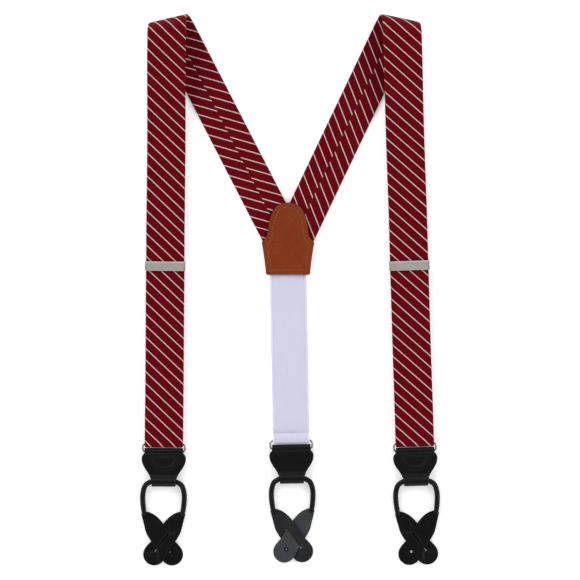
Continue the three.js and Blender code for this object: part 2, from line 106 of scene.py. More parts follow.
def resample(points, step):
    """Points along a polyline, evenly spaced by its length."""
    points = np.asarray(points, float)
    run = np.r_[0, np.cumsum(np.linalg.norm(np.diff(points, axis=0), axis=1))]
    count = max(3, int(round(run[-1] / step)) + 1)
    want = np.linspace(0, run[-1], count)
    return np.stack([np.interp(want, run, c) for c in points.T], axis=1)


def eased(points, reach, step):
    """A polyline rounded off: resampled finely, averaged over reach, resampled by step."""
    fine = resample(points, 0.1)
    pad = int(reach / 0.1)
    kernel = np.hanning(2 * pad + 1)
    kernel /= kernel.sum()
    head = 2 * fine[0] - fine[pad:0:-1]
    tail = 2 * fine[-1] - fine[-2:-pad - 2:-1]
    long = np.vstack([head, fine, tail])
    soft = np.stack([np.convolve(c, kernel, "valid") for c in long.T], axis=1)
    return resample(soft, step)


def round_slope(loop):
    """Unit directions along a closed loop, from each point's two neighbours."""
    return unit(np.roll(loop, -1, 0) - np.roll(loop, 1, 0))


def arc(centre, radius, start, end, step=8.0):
    """Points on a circle in a plane, angles in degrees from its first axis."""
    count = max(2, int(abs(end - start) / step) + 1)
    a = np.radians(np.linspace(start, end, count))
    return np.stack([centre[0] + radius * np.cos(a), centre[1] + radius * np.sin(a)], axis=1)


def put_mesh(name, points, faces, finish, uv=None, sharp=None):
    """A mesh object at the origin from millimetre points; faces all have the same corners."""
    mesh = bpy.data.meshes.new(name)
    mesh.from_pydata((points * MM).tolist(), [], faces.tolist() if hasattr(faces, "tolist") else faces)
    mesh.polygons.foreach_set("use_smooth", np.ones(len(mesh.polygons), bool))
    if uv is not None:
        layer = mesh.uv_layers.new(name="cloth")
        layer.data.foreach_set("uv", np.asarray(uv, np.float32).ravel())
    if sharp is not None:
        flag = mesh.attributes.new("sharp_face", "BOOLEAN", "FACE") \
            if "sharp_face" not in mesh.attributes else mesh.attributes["sharp_face"]
        flag.data.foreach_set("value", sharp)
    mesh.materials.append(finish)
    mesh.validate()
    mesh.update()
    piece = bpy.data.objects.new(name, mesh)
    bpy.context.scene.collection.objects.link(piece)
    return piece


def volume(points, quads):
    """Signed volume of a closed quad mesh: sum of a.(b x c) / 6 over its triangles."""
    a, b, c, d = (points[quads[:, i]] for i in range(4))
    return (np.einsum("ij,ij->i", a, np.cross(b, c)) + np.einsum("ij,ij->i", a, np.cross(c, d))).sum() / 6


def put_torus(name, rows, finish, uv=None, sharp_rows=()):
    """A surface closed both ways: rows (n, m, 3) join last to first, and so does each row."""
    n, m, _ = rows.shape
    i, j = np.meshgrid(np.arange(n), np.arange(m), indexing="ij")
    i2, j2 = (i + 1) % n, (j + 1) % m
    quads = np.stack([i * m + j, i * m + j2, i2 * m + j2, i2 * m + j], axis=-1).reshape(-1, 4)
    corner = None
    if uv is not None:
        corner = np.stack([uv[i, j], uv[i, j + 1], uv[i2, j + 1], uv[i2, j]], axis=2).reshape(-1, 4, 2)
    points = rows.reshape(-1, 3)
    if volume(points, quads) < 0:
        quads = quads[:, ::-1]
        corner = None if corner is None else corner[:, ::-1]
    sharp = np.isin(i.ravel(), sharp_rows)
    return put_mesh(name, points, quads, finish, corner, sharp)


def put_tube(name, rows, finish, uv=None):
    """A surface of rings (n, m, 3), each end closed by a fan to its middle point."""
    n, m, _ = rows.shape
    i, j = np.meshgrid(np.arange(n - 1), np.arange(m), indexing="ij")
    j2 = (j + 1) % m
    quads = np.stack([i * m + j, i * m + j2, (i + 1) * m + j2, (i + 1) * m + j], -1).reshape(-1, 4)
    ring = np.arange(m)
    first, last = n * m, n * m + 1
    fan = np.concatenate([
        np.stack([np.full(m, first), np.roll(ring, -1), ring], 1),
        np.stack([np.full(m, last), (n - 1) * m + ring, (n - 1) * m + np.roll(ring, -1)], 1)])
    points = np.vstack([rows.reshape(-1, 3), rows[0].mean(0), rows[-1].mean(0)])
    turned = volume(points, quads) < 0
    faces = [q[::-1] if turned else q for q in quads.tolist()]
    faces += [f[::-1] if turned else f for f in fan.tolist()]
    corner = None
    if uv is not None:
        corner = np.stack([uv[i, j], uv[i, j + 1], uv[i + 1, j + 1], uv[i + 1, j]], 2).reshape(-1, 4, 2)
        corner = corner[:, ::-1] if turned else corner
        ends = np.concatenate([uv[0, :m], uv[-1, :m]])
        ends = np.repeat(ends[:, None], 3, 1)
        corner = np.concatenate([corner.reshape(-1, 2), ends.reshape(-1, 2)])
    sharp = np.r_[np.zeros(len(quads), bool), np.ones(len(fan), bool)]
    return put_mesh(name, points, faces, finish, corner, sharp)


def put_threads(name, centres, along, normal, finish, length=1.5, radius=0.28):
    """Stitches: low ellipsoids, each long one way, from centres (k, 3) with their directions."""
    turn = np.radians(np.arange(0, 360, 60))
    reach = np.array([-1, -0.75, 0, 0.75, 1])
    girth = np.sqrt(np.clip(1.02 - reach ** 2, 0.02, 1))
    along, normal = unit(along), unit(normal)
    side = np.cross(along, normal)
    rings = (centres[:, None, None] + along[:, None, None] * (reach * length / 2)[None, :, None, None]
             + radius * girth[None, :, None, None]
             * (side[:, None, None] * np.cos(turn)[None, None, :, None]
                + normal[:, None, None] * np.sin(turn)[None, None, :, None]))
    k, n, m, _ = rings.shape
    i, j = np.meshgrid(np.arange(n - 1), np.arange(m), indexing="ij")
    j2 = (j + 1) % m
    quads = np.stack([i * m + j, (i + 1) * m + j, (i + 1) * m + j2, i * m + j2], -1).reshape(-1, 4)
    faces = (quads[None] + (np.arange(k) * n * m)[:, None, None]).reshape(-1, 4).tolist()
    for at in range(k):
        faces.append([at * n * m + q for q in range(m)])
        faces.append([at * n * m + (n - 1) * m + q for q in range(m)][::-1])
    return put_mesh(name, rings.reshape(-1, 3), faces, finish)


# ---- finishes ----

class Finish:
    """One node material: constants go on the shader's own sockets, patterns are linked."""

    def __init__(self, name, **constants):
        self.material = bpy.data.materials.new(name)
        self.material.use_nodes = True
        self.tree = self.material.node_tree
        self.shader = self.tree.nodes["Principled BSDF"]
        self.fill(self.shader, constants)

    def feed(self, socket, value):
        """Links a pattern to the socket, or sets a constant on it."""
        if isinstance(value, bpy.types.NodeSocket):
            self.tree.links.new(value, socket)
        else:
            socket.default_value = value

    def fill(self, made, values):
        for key, value in values.items():
            self.feed(made.inputs[key.replace("_", " ")], value)
        return made

    def node(self, kind, settings=(), **values):
        """A shader node with its settings; underscores stand for spaces in socket names."""
        made = self.tree.nodes.new("ShaderNode" + kind)
        for key, value in dict(settings).items():
            setattr(made, key, value)
        return self.fill(made, values)

    def math(self, operation, a, b=0.0, c=0.0):
        made = self.tree.nodes.new("ShaderNodeMath")
        made.operation = operation
        for socket, value in zip(made.inputs, (a, b, c)):
            self.feed(socket, value)
        return made.outputs[0]

    def mix(self, share, a, b):
        made = self.node("Mix", {"data_type": "RGBA"})
        for socket, value in ((made.inputs[0], share), (made.inputs[6], a), (made.inputs[7], b)):
            self.feed(socket, value)
        return made.outputs[2]

    def scaled(self, value, low, high, to_low, to_high):
        """The value carried from one range to another, held at both ends."""
        made = self.node("MapRange", {}, Value=value, From_Min=low, From_Max=high,
                         To_Min=to_low, To_Max=to_high)
        return made.outputs[0]

    def place(self):
        return self.node("TexCoord").outputs["Object"]

    def cloth_map(self):
        return self.node("UVMap", {"uv_map": "cloth"}).outputs[0]

    def cloth(self):
        """Across and along the cloth in millimetres, from the piece's own UV map."""
        return self.node("SeparateXYZ", {}, Vector=self.cloth_map()).outputs

    def noise(self, vector, scale, detail=3.0, roughness=0.55):
        return self.node("TexNoise", {}, Vector=vector, Scale=scale, Detail=detail,
                         Roughness=roughness).outputs[0]

    def done(self, colour, roughness=None, height=None, depth=0.1):
        """Links the patterns; depth is the relief in millimetres."""
        self.feed(self.shader.inputs["Base Color"], colour)
        if roughness is not None:
            self.feed(self.shader.inputs["Roughness"], roughness)
        if height is not None:
            bump = self.node("Bump", {}, Strength=1.0, Distance=depth * MM, Height=height)
            self.feed(self.shader.inputs["Normal"], bump.outputs[0])
        return self.material


def srgb(red, green, blue):
    """Linear RGBA of an sRGB colour given from 0 to 255."""
    c = np.array([red, green, blue]) / 255
    c = np.where(c <= 0.04045, c / 12.92, ((c + 0.055) / 1.055) ** 2.4)
    return (*c.tolist(), 1.0)


def silk_finish():
    """Pinstripes where (v - 0.966 u) / period is whole; ribs run square to the stripes."""
    f = Finish("striped_silk", Sheen_Weight=0.01, Sheen_Roughness=0.4, Sheen_Tint=srgb(255, 205, 205),
               Specular_IOR_Level=0.05)
    u, v, _ = f.cloth()
    wander = f.noise(f.cloth_map(), 0.35, 2.0)
    drift = f.math("MULTIPLY_ADD", wander, 0.5, -0.25)
    across = f.math("ADD", f.math("MULTIPLY_ADD", u, -STRIPE_SLOPE, v), drift)
    phase = f.math("FRACT", f.math("DIVIDE", across, STRIPE_PERIOD))
    offset = f.math("MULTIPLY", f.math("ABSOLUTE", f.math("SUBTRACT", phase, 0.5)), STRIPE_PERIOD)
    along = f.math("MULTIPLY", f.math("MULTIPLY_ADD", v, STRIPE_SLOPE, u), 0.7192)
    flat = f.node("CombineXYZ", {}, X=f.math("MULTIPLY", along, 1.05),
                  Y=f.math("MULTIPLY", across, 0.34)).outputs[0]
    slub = f.noise(flat, 1.0, 2.0, 0.6)
    rib = f.math("SINE", f.math("MULTIPLY_ADD", slub, 2.0, f.math("MULTIPLY", along, 6.9)))
    twill = f.math("SINE", f.math("MULTIPLY", across, 9.5))
    weave = f.math("MULTIPLY_ADD", twill, 0.22, f.math("MULTIPLY", rib, 0.6))
    stripe = f.scaled(offset, 0.34, 0.80, 1.0, 0.0)
    stripe = f.math("MULTIPLY", stripe, f.math("MULTIPLY_ADD", rib, 0.10, 0.90))
    halo = f.scaled(offset, 0.9, 2.0, 1.0, 0.0)
    patchy = f.noise(f.cloth_map(), 0.55, 3.0, 0.7)
    tone = f.math("ADD", f.math("MULTIPLY_ADD", weave, 0.34, 0.5), f.math("MULTIPLY_ADD", slub, 0.9, -0.45))
    tone = f.math("ADD", tone, f.math("MULTIPLY_ADD", patchy, 0.9, -0.45))
    ground = f.mix(tone, srgb(54, 0, 3), srgb(114, 2, 18))
    ground = f.mix(f.math("MULTIPLY", halo, 0.45), ground, srgb(52, 0, 3))
    thread = f.mix(slub, srgb(204, 148, 152), srgb(232, 202, 199))
    colour = f.mix(stripe, ground, thread)
    rough = f.math("MULTIPLY_ADD", weave, -0.06, 0.52)
    relief = f.math("MULTIPLY_ADD", stripe, 0.35, f.math("MULTIPLY", weave, 0.5))
    return f.done(colour, rough, relief, 0.10)


def plain_cloth(name, dark, light, thread, sheen=0.2):
    """Plain weave: product of two sines across and along, on a slow colour drift."""
    f = Finish(name, Sheen_Weight=sheen, Sheen_Roughness=0.5, Specular_IOR_Level=0.2)
    u, v, _ = f.cloth()
    turn = 2 * np.pi / thread
    weft = f.math("SINE", f.math("MULTIPLY", v, turn))
    warp = f.math("SINE", f.math("MULTIPLY", u, turn))
    weave = f.math("MULTIPLY", weft, warp)
    drift = f.noise(f.cloth_map(), 0.12)
    tone = f.math("ADD", f.math("MULTIPLY_ADD", weave, 0.25, 0.0), drift)
    rough = f.math("MULTIPLY_ADD", drift, 0.15, 0.75)
    return f.done(f.mix(tone, dark, light), rough, weave, 0.08)


def elastic_finish():
    """Woven elastic: fine cross ribs every 0.9 mm, warp lines every 1.5 mm, smoother selvedges, painted shade
    in the groove by each selvedge.
    """
    f = Finish("woven_elastic", Sheen_Weight=0.2, Sheen_Roughness=0.5, Specular_IOR_Level=0.25)
    u, v, _ = f.cloth()
    wander = f.noise(f.cloth_map(), 0.5, 2.0)
    weft = f.math("SINE", f.math("MULTIPLY_ADD", wander, 1.6, f.math("MULTIPLY", v, 7.0)))
    warp = f.math("SINE", f.math("MULTIPLY", u, 4.2))
    edge = f.scaled(f.math("ABSOLUTE", u), 14.0, 14.8, 0.0, 1.0)
    weave = f.math("MULTIPLY_ADD", warp, 0.35, f.math("MULTIPLY", weft, 0.65))
    weave = f.math("MULTIPLY", weave, f.math("MULTIPLY_ADD", edge, -0.6, 1.0))
    tone = f.math("MULTIPLY_ADD", weave, 0.18, f.math("MULTIPLY_ADD", wander, 0.5, 0.25))
    body = f.mix(tone, srgb(196, 194, 214), srgb(212, 210, 230))
    colour = f.mix(f.math("MULTIPLY", edge, 0.6), body, srgb(210, 208, 224))
    groove = f.scaled(f.math("ABSOLUTE", f.math("SUBTRACT", f.math("ABSOLUTE", u), 14.2)), 0.0, 0.5, 1.0, 0.0)
    # Painted shade: the colour darkens along the groove beside each selvedge.
    colour = f.mix(f.math("MULTIPLY", groove, 0.35), colour, srgb(170, 166, 192))
    rough = f.math("MULTIPLY_ADD", wander, 0.15, 0.7)
    return f.done(colour, rough, f.math("MULTIPLY_ADD", groove, -0.8, weave), 0.12)


def leather_finish(name, dark, light, grain=0.55, roughness=0.5, depth=0.07, suede=0.0):
    """Pebbled grain from two sizes of cell and noise; suede swaps the cells for fibre."""
    f = Finish(name, Specular_IOR_Level=0.16 - 0.12 * suede, Sheen_Weight=0.1 * suede,
               Sheen_Roughness=0.4)
    place = f.place()
    pebbles = f.node("TexVoronoi", {"feature": "DISTANCE_TO_EDGE"}, Vector=place, Scale=1 / (grain * MM))
    cells = f.scaled(pebbles.outputs["Distance"], 0.0, 0.35, 0.0, 1.0)
    fine = f.noise(place, 2600.0, 3.0, 0.6)
    broad = f.noise(place, 75.0, 4.0, 0.6)
    mottle = f.noise(place, 420.0, 3.0, 0.6)
    relief = f.math("MULTIPLY_ADD", fine, 0.6 + suede, f.math("MULTIPLY", cells, 0.55 * (1 - suede)))
    tone = f.math("ADD", f.math("MULTIPLY", broad, 0.65), f.math("MULTIPLY", mottle, 0.45))
    tone = f.math("MULTIPLY_ADD", cells, 0.12 * (1 - suede), f.math("SUBTRACT", tone, 0.1))
    rough = f.math("MULTIPLY_ADD", relief, -0.12, roughness + 0.08)
    return f.done(f.mix(tone, dark, light), rough, relief, depth)


def nickel_finish(name, dark, light, roughness, brushed):
    """Nickel plate: brushing is noise stretched along X; tiny rubs lighten the tone."""
    f = Finish(name, Metallic=1.0)
    place = f.place()
    long = f.node("Mapping", {}, Vector=place, Scale=(60.0, 5200.0, 5200.0)).outputs[0]
    lines = f.noise(long, 1.0, 2.0, 0.6)
    clouds = f.noise(place, 260.0, 3.0)
    tone = f.math("MULTIPLY_ADD", lines, 0.6 * brushed, f.math("MULTIPLY", clouds, 0.5))
    streaks = f.math("MULTIPLY_ADD", lines, 0.14 * brushed, roughness - 0.06)
    rough = f.math("ADD", streaks, f.math("MULTIPLY", clouds, 0.1))
    return f.done(f.mix(tone, dark, light), rough, lines, 0.012 * brushed + 0.001)


def thread_finish(name, dark, light):
    """Sewing thread: twist shown as a fine wave of tone along the stitch."""
    f = Finish(name, Roughness=0.7, Sheen_Weight=0.2)
    place = f.place()
    ply = f.node("TexWave", {"bands_direction": "DIAGONAL"}, Vector=place, Scale=700.0, Distortion=1.0)
    twist = ply.outputs[1]
    return f.done(f.mix(twist, dark, light), None, twist, 0.04)


SILK = silk_finish()
CANVAS = plain_cloth("canvas_interlining", srgb(196, 186, 160), srgb(226, 218, 198), 0.9)
ELASTIC = elastic_finish()
TAN = leather_finish("tan_leather", srgb(104, 36, 6), srgb(131, 56, 20), 0.7, 0.5, 0.05)
TAN_EDGE = leather_finish("burnished_edge", srgb(52, 22, 8), srgb(84, 38, 18), 0.7, 0.4, 0.04)
BLACK = leather_finish("black_leather", srgb(4, 4, 5), srgb(14, 14, 16), 0.6, 0.42, 0.06)
# One flesh side in two tones: the darker copy, used on the rear slit tab, is painted shade.
SUEDE = leather_finish("black_leather_flesh", srgb(36, 36, 40), srgb(76, 78, 83), 0.5, 0.85, 0.10,
                       suede=0.8)
SHADED_SUEDE = leather_finish("black_leather_flesh_shaded", srgb(20, 20, 23), srgb(50, 50, 54), 0.5, 0.85, 0.10,
                            suede=0.8)
NICKEL = nickel_finish("satin_nickel", srgb(170, 163, 160), srgb(208, 202, 199), 0.5, 1.0)
WIRE = nickel_finish("nickel_wire", srgb(150, 142, 134), srgb(196, 190, 182), 0.26, 0.3)
WHITE_THREAD = thread_finish("white_thread", srgb(176, 175, 194), srgb(214, 212, 228))
TAN_THREAD = thread_finish("olive_thread", srgb(106, 64, 30), srgb(144, 98, 54))


# ---- strap sections and runs ----

def strap_section(half, rise, seam=0.35, crown=0.08):
    """Outline of a flat tube: outer face, rounded edge, inner face with a seam groove, edge.

    Returns across x, height h and the cloth coordinate u along the outline, which is x on the
    outer face and turns the edges to +-2 half at the seam. One extra u closes the outline.
    """
    edge = min(1.5, half / 6)
    flat = half - edge
    a = np.radians(np.linspace(80, -80, 7))
    outer = np.linspace(-flat, flat, 23)
    side = np.r_[-2.6, -1.3, -0.7, -0.3, 0.0, 0.3, 0.7, 1.3, 2.6] if seam else np.zeros(1)
    under = np.r_[np.linspace(flat, 3.5, 8), side[::-1], np.linspace(-3.5, -flat, 8)]
    x = np.r_[outer, flat + edge * np.cos(a), under, -flat - edge * np.cos(a[::-1])]
    bow = 1 - crown * (np.abs(outer) / half) ** 3
    dip = 1 - crown * (np.abs(under) / half) ** 3
    under_h = -rise * dip
    if seam:
        under_h = under_h + seam * rise * np.exp(-(under / 0.55) ** 2)
        under_h = under_h - 0.10 * smooth(-under, -0.2, 0.4) * smooth(under, -3.5, -1.0) * rise
    rim = 1 - crown
    h = np.r_[rise * bow, rise * rim * np.sin(a), under_h, rise * rim * np.sin(a[::-1])]
    run = np.r_[0, np.cumsum(np.hypot(np.diff(np.r_[x, x[0]]), np.diff(np.r_[h, h[0]])))]
    middle = np.interp(0, x[:23], run[:23])
    u = (run - middle) * 4 * half / run[-1]
    u = np.where(u > 2 * half, u - 4 * half, u)
    return x, h, u


def sleeve_piece(name, outer, inner, outer_uv, inner_uv, finish):
    """A hollow sleeve: outer rows forward, inner rows back, joined at both ends."""
    rows = np.concatenate([outer, inner[::-1]])
    uv = np.concatenate([outer_uv, inner_uv[::-1]])
    n = len(outer)
    return put_torus(name, rows, finish, uv, (n - 1, 2 * n - 1))


def strap_plan(side):
    """Where one strap lies, from its joints: fold line, run directions and where runs start."""
    sign = -1 if side == "left" else 1
    apex = joint_place(f"{side}_shoulder_fold") * (1, 1, 0)
    along = joint_axis(f"{side}_shoulder_fold")
    along = along if along[0] * sign < 0 else -along
    down = joint_axis(f"{side}_length")
    back = 2 * np.dot(-down, along) * along + down
    out = np.array([-along[1], along[0], 0]) * np.sign(along[0])
    wrap = np.tan(np.arccos(np.dot(back, -out)))
    reach = wrap * np.pi * FOLD_R / 2
    front = apex - reach * along - FOLD_R * out
    rear = apex + reach * along - FOLD_R * out
    return dict(sign=sign, apex=apex, along=along, down=down, back=back, out=out, wrap=wrap,
                front=front, rear=rear)


def skewed(along, normal, ahead):
    """How far the section leans along the run so that it lies on the fold's line."""
    cross = np.cross(normal, ahead)
    return (ahead @ along) / (cross @ along)


def rear_and_fold_path(plan):
    """From the patch up to the fold and over it: straight run, then a half helix of radius R."""
    stretch = np.hypot(1, plan["wrap"])
    turn = np.radians(np.r_[np.linspace(180, 3.5, 46), 0.3, 0])[:, None]
    fold_n = plan["out"] * np.sin(turn) + Z * np.cos(turn)
    at = (plan["apex"] + plan["along"] * plan["wrap"] * FOLD_R * (turn - np.pi / 2)
          - plan["out"] * FOLD_R + Z * (STRAP_RISE + FOLD_R) + fold_n * FOLD_R)
    slope = plan["out"] * np.cos(turn) - Z * np.sin(turn)
    ahead = -(plan["along"] * plan["wrap"] + slope) / stretch
    s = -FOLD_R * stretch * turn[:, 0]
    return at, fold_n, ahead, s


def rear_rows(plan, section, bound):
    """Rows of the rear run and the shoulder turn; the far end is cut by the mitre's planes."""
    x, h, _ = section
    fold_at, fold_n, fold_d, fold_s = rear_and_fold_path(plan)
    k_fold = float(skewed(plan["along"], fold_n[0], fold_d[0]))
    direction = plan["back"]
    ahead = -direction
    cross = np.cross(-Z, ahead)
    start = plan["rear"]
    x_end, y_end = bound
    near = start[None] + cross[None] * x[:, None]
    reach = np.minimum((x_end - near[:, 0]) / direction[0], (y_end - near[:, 1]) / direction[1])
    length = np.hypot(*(start[:2] - np.array([x_end, y_end])))
    body = np.linspace(0, length - 75, int((length - 75) / 2.6))[::-1]
    share = np.linspace(1, 0, 42)[:-1]
    d = np.concatenate([body[0] + share[:, None] * (reach[None] - body[0]),
                        np.repeat(body[:, None], len(x), 1)])
    k0 = skewed(plan["along"], -Z, ahead)
    skew = k0 * (1 - smooth(d, 0, 40))
    lean = cross[None, None] + ahead[None, None] * skew[..., None]
    z = RETURN_Z + (PATCH_Z - RETURN_Z) * smooth(d, length - 80, length - 35)
    loose = smooth(d, 5, 30) * (1 - smooth(d, length - 90, length - 60))
    z = z + 0.06 * np.sin(d / 17 + x[None] / 30) * loose
    rows = start[None, None] + direction[None, None] * d[..., None] + lean * x[None, :, None]
    rows[..., 2] = z - h[None]
    s = fold_s[0] - d + skew * x[None]
    fold_rows = (fold_at[:, None] + (np.cross(fold_n, fold_d) + fold_d * k_fold)[:, None] * x[None, :, None]
                 + fold_n[:, None] * h[None, :, None])
    fold_v = fold_s[:, None] + k_fold * x[None]
    rows = np.concatenate([rows, fold_rows[1:]])
    v = np.concatenate([s, fold_v[1:]])
    return rows, v


def run_rows(at, normal, ahead, s, skew, section, rise=None):
    """Rows of one run with its own thickness share at each station."""
    x, h, _ = section
    rise = np.ones(len(at)) if rise is None else rise
    lean = np.cross(normal, ahead) + ahead * skew[:, None]
    rows = (at[:, None] + lean[:, None] * x[None, :, None]
            + normal[:, None] * (h[None] * rise[:, None])[..., None])
    return rows, s[:, None] + skew[:, None] * x[None]


def front_path(plan):
    """Down the front: height falls from the fold's top to the ring's level by a smoothstep."""
    end = FRONT_RUN - TURN_LEG
    d = np.r_[0, 0.06, np.linspace(2.5, end - 2.5, 145), end - 0.06, end]
    z = FOLD_TOP_Z + (FRONT_Z - FOLD_TOP_Z) * smooth(d, 0, FOLD_FALL)
    by_adjuster = smooth(d, 175, 195) * (1 - smooth(d, 225, 245))
    calm = smooth(d, 4, 30) * (1 - smooth(d, 330, 360)) * (1 - by_adjuster)
    z = z + 0.16 * calm * np.sin(d / 19.0 + plan["sign"])
    sway = 0.16 * calm * np.sin(d / 31.0 + 2 * plan["sign"])
    aside = np.cross(Z, plan["down"])
    at = plan["front"] + plan["down"] * d[:, None] + aside * sway[:, None] + Z * z[:, None]
    slope = np.gradient(z, d)
    slope[0] = slope[-1] = 0
    ahead = unit(plan["down"] + Z * slope[:, None])
    normal = unit(Z - ahead * ahead[:, 2:3])
    skew = skewed(plan["along"], Z, plan["down"]) * (1 - smooth(d, 0, 40))
    return at, normal, ahead, d, skew


def side_path(points, origin, upward, step, reach, s0):
    """A path drawn in the plane of a run's side: rounded off, with N x D = the run's X."""
    yz = eased(points, reach, step)
    slope = unit(np.gradient(yz, axis=0))
    at = origin * (1, 1, 0) + yz[:, :1] * upward + yz[:, 1:] * Z
    ahead = slope[:, :1] * upward + slope[:, 1:] * Z
    normal = slope[:, 1:] * upward - slope[:, :1] * Z
    s = s0 + np.r_[0, np.cumsum(np.linalg.norm(np.diff(yz, axis=0), axis=1))]
    return at, normal, ahead, s, yz


def sleeve_from(name, rows_of, half, rise, finish, seam=0.35, start=0.0):
    """The outer wall and an inner wall one cloth thickness in, as one hollow sleeve."""
    x, h, u = strap_section(half, rise, seam)
    outer, v = rows_of((x, h, u))
    inner, v_in = rows_of((x * (half - WALL_IN) / half, h * (rise - SILK_T) / rise, u))

    def with_u(v):
        wide = np.concatenate([v, v[:, :1]], 1) + start
        return np.stack([np.broadcast_to(u, wide.shape), wide], -1)

    return sleeve_piece(name, outer, inner, with_u(v), with_u(v_in), finish)


def settle_wrap(piece, half):
    """A face that spans the inner seam gets the near value: u jumps by 4 half are undone."""
    layer = piece.data.uv_layers["cloth"].data
    uv = np.empty(len(layer) * 2, np.float32)
    layer.foreach_get("uv", uv)
    uv = uv.reshape(-1, 4, 2)
    wide = np.ptp(uv[..., 0], axis=1) > 2 * half
    low = uv[wide][..., 0] < 0
    fixed = uv[wide]
    fixed[..., 0] = np.where(low, fixed[..., 0] + 4 * half, fixed[..., 0])
    uv[wide] = fixed
    layer.foreach_set("uv", uv.ravel())


def make_strap(side):
    """One strap: silk sleeve and canvas for the rear and fold, front run, ring turn and return."""
    plan = strap_plan(side)
    low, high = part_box(f"{side}_rear_run")
    bound = ((high[0] if side == "left" else low[0]) / MM, low[1] / MM)
    ring, _, upward = end_frame(f"{side}_ring_swing")

    kinds = (("", STRAP_HALF, STRAP_RISE, SILK), ("_lining", CANVAS_HALF, CANVAS_RISE, CANVAS))
    for tail, half, rise, finish in kinds:
        lined = bool(tail)

        def build(name, rows_of, half=half, rise=rise, finish=finish, lined=lined):
            if not lined:
                piece = sleeve_from(name, rows_of, half, rise, finish, start=STRIPE_START[side])
                settle_wrap(piece, half)
                return piece
            x, h, u = strap_section(half, rise, 0)
            rows, v = rows_of((x, h, u))
            wide = np.concatenate([v, v[:, :1]], 1)
            uv = np.stack([np.broadcast_to(np.r_[x, x[0]], wide.shape), wide], -1)
            return put_tube(name, rows, finish, uv)

        rear = build(f"{side}_rear{tail}_cloth", lambda sec: rear_rows(plan, sec, bound))
        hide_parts(f"{side}_rear{tail or '_run'}", f"{side}_shoulder{tail or '_turn'}")
        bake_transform(rear)

        path = front_path(plan)
        front = build(f"{side}_front{tail}_cloth", lambda sec: run_rows(*path, sec))
        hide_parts(f"{side}_front{tail or '_run'}")
        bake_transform(front)

    turn_points = np.vstack([[[TURN_LEG, FRONT_Z]], arc((0, RING_Z), TURN_R, 90, 270, 6),
                             [[TURN_LEG, RETURN_Z]]])
    turn_path = side_path(turn_points, ring, upward, 0.45, 0.3, FRONT_RUN - TURN_LEG)
    zero = np.zeros(len(turn_path[0]))
    turned = sleeve_from(f"{side}_ring_turn_cloth", lambda sec: run_rows(*turn_path[:4], zero, sec),
                         STRAP_HALF, STRAP_RISE, SILK, start=STRIPE_START[side])
    settle_wrap(turned, STRAP_HALF)
    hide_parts(f"{side}_ring_turn")
    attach(turned, f"{side}_turn")

    bar, loop_r = (ADJUSTER_Y - 1.6, 2.0), 1.4
    points = np.vstack([
        [[TURN_LEG, RETURN_Z], [ADJUSTER_Y - 30, RETURN_Z], [ADJUSTER_Y - 16, 0.6], [bar[0] - 1, 0.6]],
        arc(bar, loop_r, -90, 90, 10),
        [[ADJUSTER_Y - 8, 3.4], [ADJUSTER_Y - 12, 2.45]]])
    path = side_path(points, ring, upward, 1.2, 0.5, float(turn_path[3][-1]))
    y = path[4][:, 0]
    after = np.arange(len(y)) > np.argmax(y)
    rise = np.where(after, 0.55, 1 - 0.45 * smooth(y, ADJUSTER_Y - 30, ADJUSTER_Y - 16))
    zero = np.zeros(len(y))
    returned = sleeve_from(f"{side}_return_cloth", lambda sec: run_rows(*path[:4], zero, sec, rise),
                           STRAP_HALF, STRAP_RISE, SILK, start=STRIPE_START[side])
    settle_wrap(returned, STRAP_HALF)
    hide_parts(f"{side}_return_run")
    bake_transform(returned)


for strap_side in ("left", "right"):
    make_strap(strap_side)


# ---- elastic ----

def make_elastic():
    """One band from inside the patch down to the ring and over itself, thinner at its edges."""
    ring, across, upward = end_frame("rear_ring_swing")
    low_z, radius = 1.5, 2.0
    patch_end = ELASTIC_RUN - 22.2
    d = np.linspace(0, 40, 14)
    ease = np.stack([patch_end - 2 - d, PATCH_Z + (low_z - PATCH_Z) * smooth(d, 0, 40)], 1)
    points = np.vstack([[[ELASTIC_RUN, PATCH_Z]], ease, arc((0, RING_Z), radius, 270, 90, 6),
                        [[2.0, 5.4], [4.6, 4.3], [6.6, 3.75]]])
    at, normal, ahead, s, yz = side_path(points, ring, upward, 1.3, 1.0, 0.0)
    x, h, _ = strap_section(ELASTIC_HALF, ELASTIC_RISE, 0, 0.18)
    h = h * (1 - 0.22 * np.exp(-((np.abs(x) - 14.2) / 0.5) ** 2))
    rows, v = run_rows(at, normal, ahead, s, np.zeros(len(at)), (x, h, None))
    edge = 0.10 * np.sin(s / 6.0) + 0.06 * np.sin(s / 2.3)
    wavy = edge[:, None] * np.sign(x) * (np.abs(x) > 12)
    rows = rows + np.cross(normal, ahead)[:, None] * wavy[..., None]
    wide = np.concatenate([v, v[:, :1]], 1)
    uv = np.stack([np.broadcast_to(np.r_[x, x[0]], wide.shape), wide], -1)
    piece = put_tube("elastic_web", rows, ELASTIC, uv)
    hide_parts("elastic")
    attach(piece, "back")
    # Zigzag tack through the flap: points alternate up and down along the width.
    count = 27
    zig = np.linspace(-15, 15, count)
    rise_of = np.where(np.arange(count) % 2, 3.1, 1.3)
    ends = ring * (1, 1, 0) + across * zig[:, None] + upward * rise_of[:, None]
    flap = yz[np.argmin(yz[:, 0]) + 1:]
    ends[:, 2] = np.interp(rise_of, flap[:, 0], flap[:, 1]) + 0.72
    middle, along = (ends[1:] + ends[:-1]) / 2, ends[1:] - ends[:-1]
    thread = put_threads("elastic_tack_stitches", middle, along, np.tile(Z, (count - 1, 1)),
                         WHITE_THREAD, 2.5, 0.3)
    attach(thread, "back")


make_elastic()


# ---- back patch ----

def bezier(points, count=10):
    """Points of a quadratic curve through its three control points' hull."""
    t = np.linspace(0, 1, count + 1)[:-1, None]
    a, b, c = (np.array(p, float) for p in points)
    return a * (1 - t) ** 2 + 2 * b * t * (1 - t) + c * t * t


